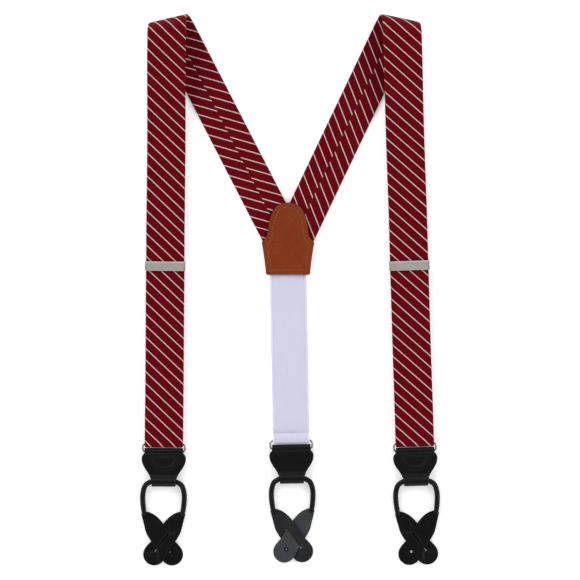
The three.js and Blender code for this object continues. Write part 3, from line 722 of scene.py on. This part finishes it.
def patch_outline():
    """Arched top, waist, hips and a taper to the foot; mirrored about the patch's middle."""
    low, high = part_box("patch_front")
    middle = (low[0] + high[0]) / 2 / MM
    foot = low[1] / MM
    half = np.vstack([
        bezier([(0, 65.0), (10.6, 64.6), (13.6, 57.4)], 12),
        bezier([(13.6, 57.4), (17.2, 51.4), (18.2, 39.9)], 10),
        bezier([(18.2, 39.9), (18.8, 32.3), (22.6, 30.7)], 8),
        bezier([(22.6, 30.7), (23.9, 29.6), (23.4, 27.3)], 5),
        bezier([(23.4, 27.3), (20.9, 14.2), (19.9, 1.4)], 8),
        bezier([(19.9, 1.4), (19.8, 0), (18.3, 0)], 4),
        [(18.3, 0), (9, 0)]])
    left = (half[1:] * (-1, 1))[::-1]
    loop = np.vstack([half, [(0, 0)], left])
    loop = resample(np.vstack([loop, loop[:1]]), 1.0)[:-1]
    return loop + (middle, foot), np.array([middle, foot + 31.0])


def patch_leather(name, base):
    """Rings inset from the outline: rounded rim, a pressed crease 4.4 mm in, then a low dome."""
    loop, centre = patch_outline()
    slope = round_slope(loop)
    inward = np.stack([slope[:, 1], -slope[:, 0]], 1)
    if np.einsum("ij,ij->i", inward, centre - loop).mean() < 0:
        inward = -inward
    soft = inward.copy()
    for _ in range(34):
        soft = unit(soft + np.roll(soft, 1, 0) + np.roll(soft, -1, 0))
    soft = soft / np.maximum((soft * inward).sum(1), 0.72)[:, None]
    def ring(inset, z):
        way = inward if inset < 1 else soft
        flat = loop + way * inset
        return np.column_stack([flat, np.full(len(loop), z)])
    top = base + PATCH_T
    insets = [0.5, 0.2, 0.0, 0.0, 0.06, 0.2, 0.5, 1.0, 2.2, 3.4, 3.9, 4.15, 4.4, 4.65, 4.9, 5.4]
    heights = [0.0, 0.08, 0.3, -0.42, -0.22, -0.08, -0.02, 0, 0, 0, -0.02, -0.16, -0.24, -0.16, -0.02, 0]
    rings = [ring(d, (base + z) if i < 3 else (top + z)) for i, (d, z) in enumerate(zip(insets, heights))]
    last = rings[-1]
    for share in (0.8, 0.6, 0.4, 0.2, 0.06):
        inner = last.copy()
        inner[:, :2] = centre + (last[:, :2] - centre) * share
        rings.append(inner)
    first = rings[0].copy()
    starts = []
    for share in (0.06, 0.35, 0.7):
        inner = first.copy()
        inner[:, :2] = centre + (first[:, :2] - centre) * share
        starts.append(inner)
    rows = np.array(starts + rings)
    piece = put_tube(name, rows, TAN)
    piece.data.materials.append(TAN_EDGE)
    row_of = np.arange(len(piece.data.polygons)) // len(loop)
    piece.data.polygons.foreach_set("material_index", ((row_of >= 3) & (row_of <= 8)).astype(np.int32))
    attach(piece, "back")
    return piece, loop + soft * STITCH_INSET


def make_patch():
    """Front and back leather with a row of stitches pressed into each one's crease."""
    front, line = patch_leather("patch_front_leather", 4.4)
    rear, _ = patch_leather("patch_back_leather", 0.0)
    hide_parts("patch_front")
    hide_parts("patch_back")
    path = resample(np.vstack([line, line[:1]]), 2.7)[:-1]
    along = np.roll(path, -1, 0) - np.roll(path, 1, 0)
    for name, z in (("patch_front_stitches", 5.86), ("patch_back_stitches", 0.12)):
        centres = np.column_stack([path, np.full(len(path), z)])
        ways = np.column_stack([along, np.zeros(len(path))])
        threads = put_threads(name, centres, ways, np.tile(Z, (len(path), 1)), TAN_THREAD, 1.9, 0.22)
        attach(threads, "back")


make_patch()


# ---- adjusters ----

def eased_copy(node, name, width, finish):
    """A CAD part's own shape with its edges rounded: merged, flat faces joined, then bevelled."""
    mesh = frame["nodes"][node].data.copy()
    mesh.name = name
    mesh.materials.clear()
    mesh.materials.append(finish)
    piece = bpy.data.objects.new(name, mesh)
    bpy.context.scene.collection.objects.link(piece)
    work = bmesh.new()
    work.from_mesh(mesh)
    bmesh.ops.remove_doubles(work, verts=work.verts, dist=1e-6)
    bmesh.ops.dissolve_limit(work, angle_limit=np.radians(1), verts=work.verts, edges=work.edges)
    work.to_mesh(mesh)
    work.free()
    mesh.polygons.foreach_set("use_smooth", np.ones(len(mesh.polygons), bool))
    bevel = piece.modifiers.new("eased_edges", "BEVEL")
    bevel.width = width * MM
    bevel.segments = 2
    bevel.limit_method = "ANGLE"
    bevel.angle_limit = np.radians(35)
    bevel.harden_normals = True
    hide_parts(node)
    return piece


def make_cover(side):
    """The lever: one rolled band, its side outline swept across, drawn in a little at both ends.

    Below it hangs a row of teeth, each a block that narrows downwards.
    """
    pin, across = joint_place(f"{side}_cover_lever"), -joint_axis(f"{side}_cover_lever")
    across = across if across[0] > 0 else -across
    upward = np.array([-across[1], across[0], 0])
    outline = np.vstack([[[-7.0, -0.7]], arc((-6.85, -0.3), 0.38, 240, 100, 20),
                         [[-5.4, 0.35], [-3.0, 0.78], [-1.2, 1.1]], arc((0, 0), 1.3, 105, -90, 12),
                         [[-0.7, -1.1], [-1.4, -0.72], [-4.0, -0.7]]])
    outline = eased(np.vstack([outline, outline[:1]]), 0.12, 0.28)[:-1]
    middle = outline.mean(0)
    half = COVER_HALF
    x = np.r_[-half, -half + 0.05, -half + 0.25, np.linspace(-half + 0.8, half - 0.8, 24),
              half - 0.25, half - 0.05, half]
    shrink = 0.22 * np.clip(1 - (half - np.abs(x)) / 0.25, 0, 1) ** 2
    way = outline - middle
    way = way / np.linalg.norm(way, axis=1, keepdims=True)
    flat = outline[None] - way[None] * shrink[:, None, None]
    rows = (pin + x[:, None, None] * across + flat[..., :1] * upward + flat[..., 1:] * Z)
    piece = put_tube(f"{side}_adjuster_cover_band", rows, NICKEL)
    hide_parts(f"{side}_adjuster_cover")
    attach(piece, f"{side}_cover")
    corner = np.array([[-1, -1], [1, -1], [1, 1], [-1, 1]])
    place = (np.arange(TOOTH_COUNT) - TOOTH_COUNT // 2) * TOOTH_PITCH
    top = np.concatenate([corner * (0.6, 0.5), np.full((4, 1), -0.65)], 1)
    low = np.concatenate([corner * (0.32, 0.26), np.full((4, 1), -1.28)], 1)
    block = np.vstack([top, low])
    local = block[None] + np.stack([place, np.full(TOOTH_COUNT, -5.2), 0 * place], 1)[:, None]
    points = (pin + local[..., :1] * across + local[..., 1:2] * upward + local[..., 2:] * Z).reshape(-1, 3)
    quads = np.array([[0, 1, 2, 3], [7, 6, 5, 4], [0, 4, 5, 1], [1, 5, 6, 2], [2, 6, 7, 3], [3, 7, 4, 0]])
    faces = (quads[None] + 8 * np.arange(TOOTH_COUNT)[:, None, None]).reshape(-1, 4)
    teeth = put_mesh(f"{side}_adjuster_teeth", points, faces, NICKEL, sharp=np.ones(len(faces), bool))
    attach(teeth, f"{side}_cover")


for strap_side in ("left", "right"):
    make_cover(strap_side)
    for part, soften in (("adjuster_frame", 0.14), ("adjuster_pin", 0.1)):
        eased_part = eased_copy(f"{strap_side}_{part}", f"{strap_side}_{part}_nickel", soften, NICKEL)
        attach(eased_part, f"{strap_side}_adjuster")


# ---- rings ----

def make_ring(end):
    """Round wire swept along a rounded rectangle, closed end to end."""
    origin, across, upward = end_frame(f"{end}_ring_swing")
    half, corner, radius = 19.0, 2.8, 0.9
    loop = np.vstack([arc((half - corner, -corner), corner, 0, 90, 10),
                      arc((-half + corner, -corner), corner, 90, 180, 10),
                      arc((-half + corner, -BAR_PITCH + corner), corner, 180, 270, 10),
                      arc((half - corner, -BAR_PITCH + corner), corner, 270, 360, 10)])
    loop = resample(np.vstack([loop, loop[:1]]), 0.8)[:-1]
    slope = round_slope(loop)
    turn = np.radians(np.arange(0, 360, 20))
    side = slope[:, 1:] * across - slope[:, :1] * upward
    at = origin * (1, 1, 0) + loop[:, :1] * across + loop[:, 1:] * upward + RING_Z * Z
    spoke = side[:, None] * np.cos(turn)[None, :, None] + Z * np.sin(turn)[None, :, None]
    rows = at[:, None] + radius * spoke
    piece = put_torus(f"{end}_ring_wire", rows, WIRE)
    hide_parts(f"{end}_ring")
    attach(piece, f"{end}_ring")


# ---- keepers ----

def keeper_half(y):
    """Half width of the keeper at a height above the bar: straight top, lobes, then a neck."""
    heights = np.array([-31.4, -28, -24, -21, -18, -15, -12, -9.5, -7, -5,
                        -3.4, -2.3, -1.5, -0.8, 3.5])
    halves = np.array([10.8, 10.95, 11.7, 12.9, 14.7, 16.8, 18.5, 19.5, 19.95, 19.9,
                       19.5, 18.7, 17.7, 17.4, 17.4])
    fine = np.linspace(heights[0], heights[-1], 400)
    line = np.interp(fine, heights, halves)
    kernel = np.hanning(25)
    line = np.convolve(np.pad(line, 12, "edge"), kernel / kernel.sum(), "valid")
    return np.interp(y, fine, line)


def make_keeper(end, embossed, top_reach):
    """Belt path times a flat rounded section whose half width follows the keeper's outline.

    The belt is a closed line in the side plane: round the ring's lower bar, down the front, round
    the loop's tunnel and back up. top_reach stretches its top arc towards the web.
    """
    origin, across, upward = end_frame(f"{end}_ring_swing")
    top_y, low_y = -BAR_PITCH, -BAR_PITCH - KEEPER_REACH
    bar_r, cord_r, apart = 2.1, 3.5, 0.82

    def middle_z(y):
        return RING_Z + (CORD_Z - RING_Z) * (top_y - y) / KEEPER_REACH
    bar, cord = 40, 36  # degrees that each arc stops short where the two layers meet
    front = [(top_y - 4.4, middle_z(top_y - 4.4) + apart), (low_y + 6.6, middle_z(low_y + 6.6) + apart)]
    rear = [(low_y + 6.6, middle_z(low_y + 6.6) - apart), (top_y - 4.4, middle_z(top_y - 4.4) - apart)]
    top_arc, low_arc = arc((0, 0), bar_r, 0, 180 - bar, 6), arc((0, 0), bar_r, 180 + bar, 360, 6)[:-1]
    reach = np.array([1, 0]) * np.maximum(top_arc[:, :1], 0) * top_reach
    top_arc = top_arc + reach + (top_y, RING_Z)
    reach_low = np.array([1, 0]) * np.maximum(low_arc[:, :1], 0) * top_reach
    low_arc = low_arc + reach_low + (top_y, RING_Z)
    loop = np.vstack([top_arc, front, arc((low_y, CORD_Z), cord_r, cord, 360 - cord, 6), rear, low_arc])
    closed = np.vstack([loop, loop[:1]])
    fine = resample(closed, 0.1)[:-1]
    kernel = np.hanning(17)
    kernel /= kernel.sum()
    wrapped = np.vstack([fine[-8:], fine, fine[:8]])
    soft = np.stack([np.convolve(c, kernel, "valid") for c in wrapped.T], 1)
    path = resample(np.vstack([soft, soft[:1]]), 0.45)[:-1]
    slope = round_slope(path)
    outward = np.stack([slope[:, 1], -slope[:, 0]], 1)
    if np.einsum("ij,ij->i", outward, path - path.mean(0)).mean() < 0:
        outward = -outward
    half = keeper_half(path[:, 0] - top_y)
    rise = 0.78
    flat = np.linspace(-1, 1, 71)
    a = np.radians(np.linspace(75, -75, 6))
    unit_x = np.r_[flat, np.ones(6), flat[::-1], -np.ones(6)]
    bulge = np.r_[np.zeros(71), np.cos(a), np.zeros(71), -np.cos(a[::-1])]
    h = np.r_[np.full(71, rise), rise * np.sin(a), np.full(71, -rise), rise * np.sin(a[::-1])]
    x = unit_x[None] * (half[:, None] - 0.7) + 0.7 * bulge[None]
    depth = np.broadcast_to(h, x.shape).copy()
    edge_gap = half[:, None] - np.abs(x)
    face = (np.arange(len(h)) < 71)[None]
    depth -= np.where(face, 0.10 * np.exp(-((edge_gap - 1.8) / 0.35) ** 2), 0)
    if embossed:
        y = (path[:, :1] - top_y) * np.ones_like(x)
        on_top = (path[:, 1] > np.interp(path[:, 0], (low_y, top_y), (CORD_Z, RING_Z)))[:, None] & face
        bowl = np.where(y < -4.2, np.hypot(x / 10.6, (y + 4.2) / 9.0), 9)
        line_d = np.where(np.abs(x) < 10.6, np.abs(y + 4.2), 9)
        near = np.minimum(np.abs(bowl - 1) * 9.5, line_d)
        second = np.where(y < -4.2, np.abs(np.hypot(x / 13.4, (y + 4.2) / 12.2) - 1) * 12, 9)
        depth -= np.where(on_top, 0.55 * np.exp(-(near / 0.40) ** 2), 0)
        depth -= np.where(on_top, 0.28 * np.exp(-(second / 0.36) ** 2), 0)
        depth += np.where(on_top & (bowl < 0.93), 0.10, 0)
    at = origin * (1, 1, 0) + path[:, :1] * upward + path[:, 1:] * Z
    out3 = outward[:, :1] * upward + outward[:, 1:] * Z
    rows = at[:, None] + x[..., None] * across + depth[..., None] * out3[:, None]
    piece = put_torus(f"{end}_keeper_leather", rows, BLACK)
    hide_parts(f"{end}_keeper")
    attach(piece, f"{end}_keeper")


# ---- leather loops ----

TAB_R, TAB_L, TAB_WAIST = 10.0, 46.0, 9.0
TAB_X, TAB_DROP, TAB_TURN = 8.0, 65.35, np.radians(34.3)
SLIT_U, SLIT_FROM, SLIT_TO, SLIT_OPEN, SLIT_THIN = 0.6, 2.5, 24.4, 3.0, 0.5
HOLE_R, TAB_T = 0.45, 1.5
EYE_R = {"left": 0.4, "rear": 0.55, "right": 1.1}


def tab_loops(slit_open, eye_r):
    """Outline of a tab and of its buttonhole, u across and v up from the round end's centre."""
    outer = np.vstack([
        bezier([(2.6, TAB_L), (4.6, 40), (8.0, 31)]),
        bezier([(8.0, 31), (TAB_WAIST + 0.2, 27), (TAB_WAIST, 20)]),
        [(TAB_WAIST, 20), (TAB_WAIST, 8)], bezier([(TAB_WAIST, 8), (TAB_R, 4), (TAB_R, 0)]),
        arc((0, 0), TAB_R, 0, -180, 5), bezier([(-TAB_R, 0), (-TAB_R, 4), (-TAB_WAIST, 8)]),
        [(-TAB_WAIST, 8), (-TAB_WAIST, 20)], bezier([(-TAB_WAIST, 20), (-9.4, 28), (-8.4, 33.5)]),
        bezier([(-8.4, 33.5), (-7.2, 40.5), (-2.6, TAB_L - 1)]), [(-2.6, TAB_L - 1), (2.6, TAB_L)]])
    wide = SLIT_OPEN if slit_open else SLIT_THIN
    eye = (SLIT_U - wide / 2, SLIT_FROM + HOLE_R / 2)
    slit = np.vstack([[(SLIT_U, SLIT_TO), (SLIT_U - wide / 2, SLIT_TO - wide)],
                      arc(eye, HOLE_R, 117, 423, 12), [(SLIT_U, SLIT_TO)]])
    if not slit_open:
        slit = arc(eye, eye_r, 0, 360, 12)
    return resample(outer, 0.9)[:-1], resample(slit, 0.7 if slit_open else 0.35)[:-1]


def inside(points, loop):
    """Even-odd test: how many of the loop's edges lie to the right of each point."""
    a, b = loop, np.roll(loop, -1, 0)
    x, y = points[:, :1], points[:, 1:]
    spans = (a[:, 1] > y) != (b[:, 1] > y)
    rise = np.where(b[:, 1] == a[:, 1], 1, b[:, 1] - a[:, 1])
    at = (b[:, 0] - a[:, 0]) * (y - a[:, 1]) / rise + a[:, 0]
    return (spans & (x < at)).sum(1) % 2 == 1


def edge_distance(points, loop):
    """Shortest way from each point to the loop's edges."""
    a, b = loop, np.roll(loop, -1, 0)
    way = b - a
    t = np.clip(((points[:, None] - a) * way).sum(-1) / np.maximum((way ** 2).sum(-1), 1e-9), 0, 1)
    return np.linalg.norm(points[:, None] - (a + way * t[..., None]), axis=-1).min(1)


def tab_sheet(slit_open, eye_r):
    """Flat triangles over the tab with rings of points just inside every edge."""
    outer, slit = tab_loops(slit_open, eye_r)
    edges, start = [], 0
    for loop in (outer, slit):
        count = len(loop)
        ids = np.arange(count) + start
        edges += list(zip(ids.tolist(), np.roll(ids, -1).tolist()))
        start += count
    extra = []
    for loop in (outer, slit):
        slope = round_slope(loop)
        normal = np.stack([slope[:, 1], -slope[:, 0]], 1)
        probe = loop + normal * 0.05
        good = inside(probe, outer) & ~inside(probe, slit)
        normal = normal if good.mean() > 0.5 else -normal
        for inset in (0.16, 0.42, 0.8):
            extra.append(loop + normal * inset)
    grid = np.stack(np.meshgrid(np.arange(-11, 11, 1.1), np.arange(-11, 47, 1.1)), -1).reshape(-1, 2)
    gap = np.minimum(edge_distance(grid, outer), edge_distance(grid, slit))
    extra = np.vstack(extra)
    extra_gap = np.minimum(edge_distance(extra, outer), edge_distance(extra, slit))
    extra = extra[(extra_gap > 0.12)]
    pool = np.vstack([extra, grid[gap > 1.2]])
    pool = pool[inside(pool, outer) & ~inside(pool, slit)]
    points = np.vstack([outer, slit, pool])
    flat, _, faces, *_ = delaunay_2d_cdt([Vector(p) for p in points.tolist()], edges, [], 0, 1e-5)
    flat = np.array([tuple(p) for p in flat])
    faces = np.array([list(f) for f in faces])
    centre = flat[faces].mean(1)
    faces = faces[inside(centre, outer) & ~inside(centre, slit)]
    return flat, faces, outer, slit


def tab_height(x, y, slit_leg, threaded, flipped):
    """The crossing: the threaded tab is high before the slit and low after; the lips part."""
    x = (x + slit_leg * TAB_X) * slit_leg
    u = x * np.cos(TAB_TURN) - y * np.sin(TAB_TURN) - SLIT_U
    v = x * np.sin(TAB_TURN) + y * np.cos(TAB_TURN)
    spare = 9 * smooth(np.abs(u), 0.5, 6)
    ease = 2.2 + 5 * smooth(np.abs(u), 0.5, 6)
    window = smooth((v + spare - SLIT_FROM) / ease, 0, 1) * smooth((SLIT_TO - v + spare) / ease, 0, 1)
    lips = 0.5 + 0.5 * window * np.where(u > -SLIT_OPEN / 2, 1, -1)
    passing = 1 - smooth(u, -SLIT_OPEN, 0)
    share = passing if threaded else lips
    return (TAB_T + 0.3) * (1 - share if flipped else share)


def make_tab(end, leg, threaded_leg, flipped, origin, across, upward):
    """A flat sheet bent to the crossing's height; thickness falls off round every edge."""
    threaded = leg == threaded_leg
    flat, faces, outer, slit = tab_sheet(not threaded, EYE_R[end])
    gap = np.minimum(edge_distance(flat, outer), edge_distance(flat, slit))
    round_r = TAB_T / 2
    t = np.clip(gap / round_r, 0, 1)
    half = round_r * np.sqrt(np.clip(1 - (1 - t) ** 2, 0, 1))
    crease = 0.09 * np.exp(-((edge_distance(flat, outer) - 1.9) / 0.35) ** 2)
    c, s = np.cos(-leg * TAB_TURN), np.sin(-leg * TAB_TURN)
    u, v = flat[:, 0] * leg, flat[:, 1]
    x = u * c - v * s - leg * TAB_X
    y = u * s + v * c
    z = tab_height(x, y, -threaded_leg, threaded, flipped) + TAB_T / 2
    tunnel = -BAR_PITCH - KEEPER_REACH - TAB_DROP
    at = origin * (1, 1, 0) + x[:, None] * across + (y + tunnel)[:, None] * upward
    rim = gap < 1e-4
    top = at + (z + half - crease)[:, None] * Z
    bottom = at + (z - half)[:, None] * Z
    top[rim] = bottom[rim] = (at + z[:, None] * Z)[rim]
    under = np.arange(len(flat)) + len(flat)
    under[rim] = np.arange(len(flat))[rim]
    tri = faces if leg > 0 else faces[:, ::-1]
    used = np.vstack([tri, under[tri][:, ::-1]])
    points = np.vstack([top, bottom])
    keep, index = np.unique(used, return_inverse=True)
    faces = index.reshape(used.shape)
    points = points[keep]
    a, b, c3 = (points[faces[:, i]] for i in range(3))
    if np.einsum("ij,ij->i", a - points.mean(0), np.cross(b - points.mean(0), c3 - points.mean(0))).sum() < 0:
        faces = faces[:, ::-1]
    kind = "threaded" if threaded else "slit"
    # The rear slit tab gets the darker suede, painted shade on the same flesh side.
    flesh = SUEDE if threaded else SHADED_SUEDE
    piece = put_mesh(f"{end}_{kind}_tab", points, faces, flesh if end == "rear" else BLACK)
    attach(piece, f"{end}_loop")


def make_eye_shade_ring(end, leg, flipped, origin, across, upward):
    """A flat black ring pressed into the leather round the buttonhole's eye: painted shade where the hole's
    shadow falls.
    """
    c, s = np.cos(-leg * TAB_TURN), np.sin(-leg * TAB_TURN)
    u, v = (SLIT_U - SLIT_THIN / 2) * leg, SLIT_FROM + HOLE_R / 2
    x, y = u * c - v * s - leg * TAB_X, u * s + v * c
    z = tab_height(np.array([x]), np.array([y]), -leg, True, flipped)[0] + TAB_T
    turn, girth = np.radians(np.arange(0, 360, 12))[:, None], np.radians(np.arange(0, 360, 30))[None]
    reach = 1.25 + 0.7 * np.cos(girth)
    tunnel = -BAR_PITCH - KEEPER_REACH - TAB_DROP
    rows = (origin * (1, 1, 0) + (x + reach * np.cos(turn))[..., None] * across
            + (y + tunnel + reach * np.sin(turn))[..., None] * upward
            + (z + 0.06 * np.sin(girth) + 0 * turn)[..., None] * Z)
    # Painted shade round the eye, in black leather.
    piece = put_torus(f"{end}_buttonhole_painted_shade", rows, BLACK)
    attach(piece, f"{end}_loop")


def loop_route(side):
    """Control points of one leg of the rolled loop, from the tunnel down to its tab."""
    return np.array([(9, 0, 4.3), (12.5, -0.4, 4.3), (16.6, -3.6, 3.8), (18.6, -11, 3.0),
                     (18.4, -20, 2.6), (17.0, -30.5, 2.5)]) * (side, 1, 1)


def make_loop(end, threaded_leg, flipped):
    """The rolled cord swept round its route, with a sewn seam, and its two tabs."""
    origin, across, upward = end_frame(f"{end}_ring_swing")
    control = np.vstack([loop_route(-1)[::-1], loop_route(1)])
    pad = np.vstack([2 * control[0] - control[1], control, 2 * control[-1] - control[-2]])
    t = np.linspace(0, 1, 25)[:-1, None]
    parts = []
    for p0, p1, p2, p3 in zip(pad[:-3], pad[1:-2], pad[2:-1], pad[3:]):
        parts.append(0.5 * (2 * p1 + (p2 - p0) * t + (2 * p0 - 5 * p1 + 4 * p2 - p3) * t ** 2
                            + (3 * p1 - p0 - 3 * p2 + p3) * t ** 3))
    path = resample(np.vstack(parts + [control[-1:]]), 1.0)
    slope = unit(np.gradient(path, axis=0))
    side = unit(np.cross(np.broadcast_to(Z, slope.shape), slope))
    up = np.cross(slope, side)
    turn = np.radians(np.arange(0, 360, 15))
    run = np.linspace(0, 1, len(path))
    close = np.minimum(run, 1 - run) * len(path)
    girth = LOOP_GIRTH - 0.35 * (1 - smooth(close, 0, 8))
    seam = 1 - 0.14 * np.exp(-((turn - np.radians(45)) / 0.16) ** 2)
    radius = girth[:, None] * seam[None]
    local = (path[:, None] + side[:, None] * (radius * np.cos(turn))[..., None]
             + up[:, None] * (radius * np.sin(turn))[..., None])
    local[..., 2] = np.maximum(local[..., 2], 0.02)
    local[..., 1] -= BAR_PITCH + KEEPER_REACH
    rows = origin * (1, 1, 0) + local[..., :1] * across + local[..., 1:2] * upward + local[..., 2:] * Z
    piece = put_tube(f"{end}_rolled_loop", rows, BLACK)
    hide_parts(f"{end}_leather_loop")
    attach(piece, f"{end}_loop")
    for leg in (-1, 1):
        make_tab(end, leg, threaded_leg, flipped, origin, across, upward)
    # The rear loop's buttonhole eye gets a ring of painted shade.
    if end == "rear":
        make_eye_shade_ring(end, threaded_leg, flipped, origin, across, upward)


for place, threaded_leg, flipped in (("left", -1, False), ("rear", 1, True), ("right", 1, False)):
    make_ring(place)
    make_keeper(place, place != "rear", 0.74 if place == "rear" else 0.48)
    make_loop(place, threaded_leg, flipped)


# ---- floor, light and camera ----

def floor_finish():
    """Matt near-white with a faint glow, so that shadows stay pale."""
    f = Finish("studio_floor", Roughness=0.9, Specular_IOR_Level=0.1, Emission_Strength=0.30,
               Emission_Color=(1, 1, 1, 1))
    speck = f.noise(f.place(), 900.0, 2.0)
    return f.done(f.mix(speck, (0.93, 0.93, 0.93, 1), (0.95, 0.95, 0.95, 1)), None, speck, 0.02)


def make_studio():
    """A pale floor, a pale surround that darkens overhead, and two broad soft lamps."""
    mesh = bpy.data.meshes.new("studio_floor")
    reach = 4.0
    mesh.from_pydata([(-reach, -reach, -0.0005), (reach, -reach, -0.0005), (reach, reach, -0.0005),
                      (-reach, reach, -0.0005)], [], [(0, 1, 2, 3)])
    mesh.materials.append(floor_finish())
    floor = bpy.data.objects.new("studio_floor", mesh)
    bpy.context.scene.collection.objects.link(floor)
    world = bpy.data.worlds.new("studio") if not bpy.context.scene.world else bpy.context.scene.world
    bpy.context.scene.world = world
    world.use_nodes = True
    tree = world.node_tree
    shade = tree.nodes["Background"]
    height = tree.nodes.new("ShaderNodeSeparateXYZ")
    tree.links.new(tree.nodes.new("ShaderNodeTexCoord").outputs["Generated"], height.inputs[0])
    dim = tree.nodes.new("ShaderNodeMapRange")
    dim.interpolation_type = "SMOOTHSTEP"
    for key, value in (("From Min", 0.62), ("From Max", 0.93), ("To Min", 1.38), ("To Max", 0.05)):
        dim.inputs[key].default_value = value
    tree.links.new(height.outputs[2], dim.inputs["Value"])
    tree.links.new(dim.outputs[0], shade.inputs[1])
    shade.inputs[0].default_value = (1, 1, 1, 1)
    for name, place, power in (("lamp_left", (-1.7, 1.5, 1.5), 27.0),
                               ("lamp_right", (1.9, 0.4, 1.4), 13.5)):
        lamp = bpy.data.lights.new(name, "AREA")
        lamp.size, lamp.energy = 1.2, power
        thing = bpy.data.objects.new(name, lamp)
        thing.location = place
        thing.rotation_euler = (-Vector(place)).to_track_quat("-Z", "Y").to_euler()
        bpy.context.scene.collection.objects.link(thing)


def make_camera():
    """Straight down, the object's length up the picture, from far off with a long lens."""
    camera = bpy.data.cameras.new("camera")
    camera.sensor_width = 36.0
    distance, field = 4.0, 0.522
    camera.lens = camera.sensor_width * distance / field
    camera.clip_end = 20.0
    thing = bpy.data.objects.new("camera", camera)
    thing.location = (0.0, 0.0, distance + 0.005)
    bpy.context.scene.collection.objects.link(thing)
    bpy.context.scene.camera = thing


make_studio()
make_camera()
bpy.context.scene.view_settings.view_transform = "Standard"
